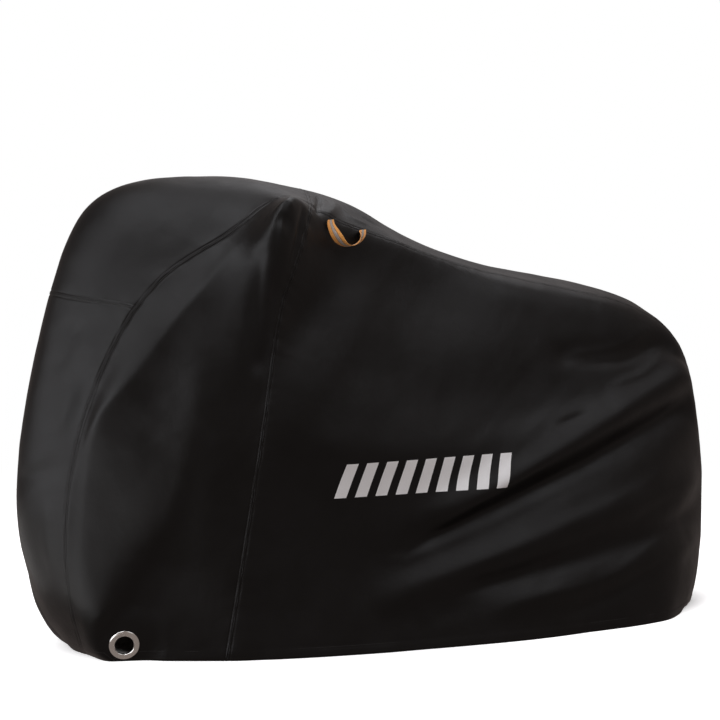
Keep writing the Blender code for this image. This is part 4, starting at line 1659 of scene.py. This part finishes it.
@dataclass(frozen=True)
class Studio:
    """A white floor that fades into a white surround, softboxes over and before the cover, and the camera."""

    floor_z: float
    floor_centre: tuple[float, float] = (-0.35, 0.0)
    floor_radii: tuple[float, ...] = (0.02, 0.5, 1.0, 1.5, 2.0, 2.6, 3.2)
    floor_sides: int = 96
    floor_gap: float = 0.0005
    card_color: Triple = (0.92, 0.92, 0.92)
    fade: tuple[float, float] = (1.5, 3.1)
    # the painted shadow's ellipse round the cover, and the edge and strength of the painted floor light outside it
    painted_shadow_footprint: Triple = (-0.44, 0.88, 0.38)
    painted_shadow_edge: tuple[float, float] = (0.85, 1.05)
    painted_floor_light: float = 0.80
    surround: Triple = WHITE
    ambient: Triple = (0.235, 0.198, 0.184)
    camera_place: Triple = (2.6074, 5.7649, 0.1817)
    camera_target: Triple = (-0.330, 0.0, -0.441)
    lens: float = 134.9
    boxes: tuple[Softbox, ...] = field(default=(
        Softbox("high_before_the_nose", (1.59, 1.58, 2.65), (2.0, 2.0), 32.4),
        Softbox("before_the_nose", (3.02, 1.21, 1.38), (2.0, 2.0), 21.6),
        Softbox("overhead", (0.65, 0.55, 3.35), (2.0, 2.0), 25.9),
        Softbox("low_before_the_nose", (3.44, 1.36, -0.15), (2.0, 2.0), 25.9),
        Softbox("low_right_of_the_nose", (3.67, -0.35, -0.15), (2.0, 2.0), 28.1),
        Softbox("over_the_right", (-0.3, -0.56, 3.46), (2.6, 2.0), 13.0),
        Softbox("high_over_the_rear", (-1.95, 1.83, 2.65), (3.0, 2.0), 25.9),
        Softbox("left_of_the_rear", (-1.68, 3.25, 1.38), (2.6, 2.0), 8.6),
        Softbox("high_right_of_the_rear", (-2.19, -1.58, 2.65), (3.0, 2.0), 25.9),
        Softbox("right_of_the_rear", (-2.07, -3.06, 1.38), (2.6, 2.0), 4.3),
        Softbox("card_before_the_nose", (1.4, -0.8, -1.07), (1.6, 1.2), 3.9, (1.4, -0.8, 0.0), WHITE),
        Softbox("card_left_of_the_nose", (1.5, 0.5, -1.07), (1.6, 1.2), 10.8, (1.5, 0.5, 0.0), WHITE),
    ))

    def floor(self) -> None:
        """A disc of plain white card whose edge fades away, by the distance from its centre, with painted light: it
        glows outside an ellipse round the cover, leaving a painted soft shadow near the hem.
        """
        turns = np.arange(self.floor_sides) * 2.0 * np.pi / self.floor_sides
        spokes = np.stack((np.cos(turns), np.sin(turns), np.zeros_like(turns)), -1)
        centre = np.array((*self.floor_centre, self.floor_z - self.floor_gap))
        radii = np.array(self.floor_radii)
        points = (centre + spokes[None] * radii[:, None, None]).reshape(-1, 3)
        index = np.arange(len(points)).reshape(len(radii), -1)
        turned = np.roll(index, -1, axis=1)
        faces = np.stack((index[:-1], index[1:], turned[1:], turned[:-1]), -1).reshape(-1, 4)
        card = lay_mesh("studio_floor", points, faces)
        sketch = NodeSketch("studio_card")
        place = sketch.add("ShaderNodeTexCoord").outputs["Object"]
        away = sketch.add("ShaderNodeVectorMath", {0: place}, operation="DISTANCE")
        away.inputs[1].default_value = tuple(centre)
        solid = sketch.ramp(away.outputs["Value"], self.fade[0], self.fade[1], 1.0, 0.0)
        sketch.set(base_color=(*self.card_color, 1.0), roughness=0.9, specular_ior_level=0.0, alpha=solid)
        # painted light and shadow: the card glows outside an ellipse round the cover's footprint and not under it,
        # which leaves a soft painted shadow along the hem
        spread = sketch.add("ShaderNodeMapping", {"Vector": place}, vector_type="TEXTURE")
        spread.inputs["Location"].default_value = (self.painted_shadow_footprint[0], 0.0, centre[2])
        spread.inputs["Scale"].default_value = (self.painted_shadow_footprint[1], self.painted_shadow_footprint[2], 1.0)
        share = sketch.add("ShaderNodeVectorMath", {0: spread.outputs[0]}, operation="LENGTH").outputs["Value"]
        painted_floor_light = sketch.ramp(share, self.painted_shadow_edge[0], self.painted_shadow_edge[1], 0.0, self.painted_floor_light)
        sketch.set(emission_color=(1.0, 1.0, 1.0, 1.0), emission_strength=painted_floor_light)
        card.data.materials.append(sketch.material)
        card.visible_diffuse = card.visible_glossy = False

    def world(self) -> None:
        """White to the eye and a low even grey as light."""
        world = bpy.data.worlds.new("studio")
        world.use_nodes = True
        tree = world.node_tree
        tree.nodes.clear()
        out = tree.nodes.new("ShaderNodeOutputWorld")
        mix = tree.nodes.new("ShaderNodeMixShader")
        path = tree.nodes.new("ShaderNodeLightPath")
        tree.links.new(path.outputs["Is Camera Ray"], mix.inputs[0])
        for slot, level in ((1, self.ambient), (2, self.surround)):
            back = tree.nodes.new("ShaderNodeBackground")
            back.inputs["Color"].default_value = (*level, 1.0)
            tree.links.new(back.outputs[0], mix.inputs[slot])
        tree.links.new(mix.outputs[0], out.inputs["Surface"])
        bpy.context.scene.world = world

    def camera(self) -> None:
        """A long lens a little above the middle of the cover, from its front left."""
        data = bpy.data.cameras.new("camera")
        data.lens = self.lens
        data.clip_start, data.clip_end = 0.1, 60.0
        thing = bpy.data.objects.new("camera", data)
        thing.location = self.camera_place
        back = Vector(self.camera_place) - Vector(self.camera_target)
        thing.rotation_euler = back.to_track_quat("Z", "Y").to_euler()
        bpy.context.scene.collection.objects.link(thing)
        bpy.context.scene.camera = thing

    def build(self) -> None:
        """The whole studio."""
        self.camera()
        self.floor()
        self.world()
        for box in self.boxes:
            box.build()
        bpy.context.scene.view_settings.view_transform = "Standard"


def panels(surface: CoverSurface) -> list[ClothPanel]:
    """The seven cloth panels, from the front hem to the rear and from the left side to the right.

    Args:
        surface: the drape.

    Returns:
        The panels.
    """
    s = surface
    front, crown, rear = (0.0, s.cross_u), (s.cross_u, s.joint_u), (s.joint_u, s.rear_u)
    gusset = (-s.seam_v, s.seam_v)
    made = [
        ClothPanel("front_gusset_cloth", ("front_gusset",), front, gusset, 150, 74, (0.45, 0.87), 0.26,
                   (False, True), (True, True)),
        ClothPanel("crown_gusset_cloth", ("crown_gusset",), crown, gusset, 110, 90, (0.45, 0.75), 0.31,
                   (True, True), (True, True)),
        ClothPanel("back_gusset_cloth", ("back_gusset",), rear, gusset, 260, 74, (0.44, 1.82), 0.47,
                   (True, False), (True, True)),
    ]
    for side in Side:
        v_range = (s.seam_v, s.hem_v) if side is Side.LEFT else (-s.hem_v, -s.seam_v)
        edges = (True, False) if side is Side.LEFT else (False, True)
        word = side.name.lower()
        made.append(ClothPanel(
            f"side_front_{word}_cloth", (f"side_front_{word}", f"eyelet_patch_{word}"), (0.0, s.joint_u), v_range,
            200, 140, (0.90, 1.16), 0.42, (False, True), edges,
        ))
        made.append(ClothPanel(
            f"side_rear_{word}_cloth", (f"side_rear_{word}",), rear, v_range,
            256, 180, (1.79, 1.11), 1.20, (True, False), edges,
        ))
    return made


def main() -> None:
    """Builds the cover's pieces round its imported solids, then the studio."""
    logging.basicConfig(level=logging.INFO, format="%(name)s: %(message)s")
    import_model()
    surface = CoverSurface()
    relief = Relief(surface)
    cloth = Cloth(surface, relief)
    outer = CoatedTaffeta("coated_taffeta").build()
    printed = CoatedTaffeta("printed_taffeta", print_bars=PrintBars()).build()
    for panel in panels(surface):
        piece = panel.build(cloth)
        panel.dress(piece, printed if panel.name == "side_rear_left_cloth" else outer)
        report(piece)
    thread, nickel, webbing = Thread().build(), Nickel().build(), StripedWebbing().build()
    stitches, eyelet, loop = StitchRows(), Eyelet(), WebbingLoop()
    rows = {name: stitches.seam_rows(seam) for name, seam in relief.seams.items()}
    rows["hem"] = [stitches.hem_row(surface, relief.hem_band)]
    for name, lines in rows.items():
        piece = stitches.build(f"{name}_stitches", cloth, lines)
        stitches.dress(piece, thread)
        report(piece)
    for side in Side:
        piece = eyelet.build(f"eyelet_{side.name.lower()}_ring", surface, side)
        eyelet.dress(piece, side, nickel)
        report(piece)
    piece = loop.build("webbing_loop_strap", surface)
    loop.dress(piece, webbing)
    report(piece)
    Studio(surface.floor).build()


if __name__ == "__main__":
    main()
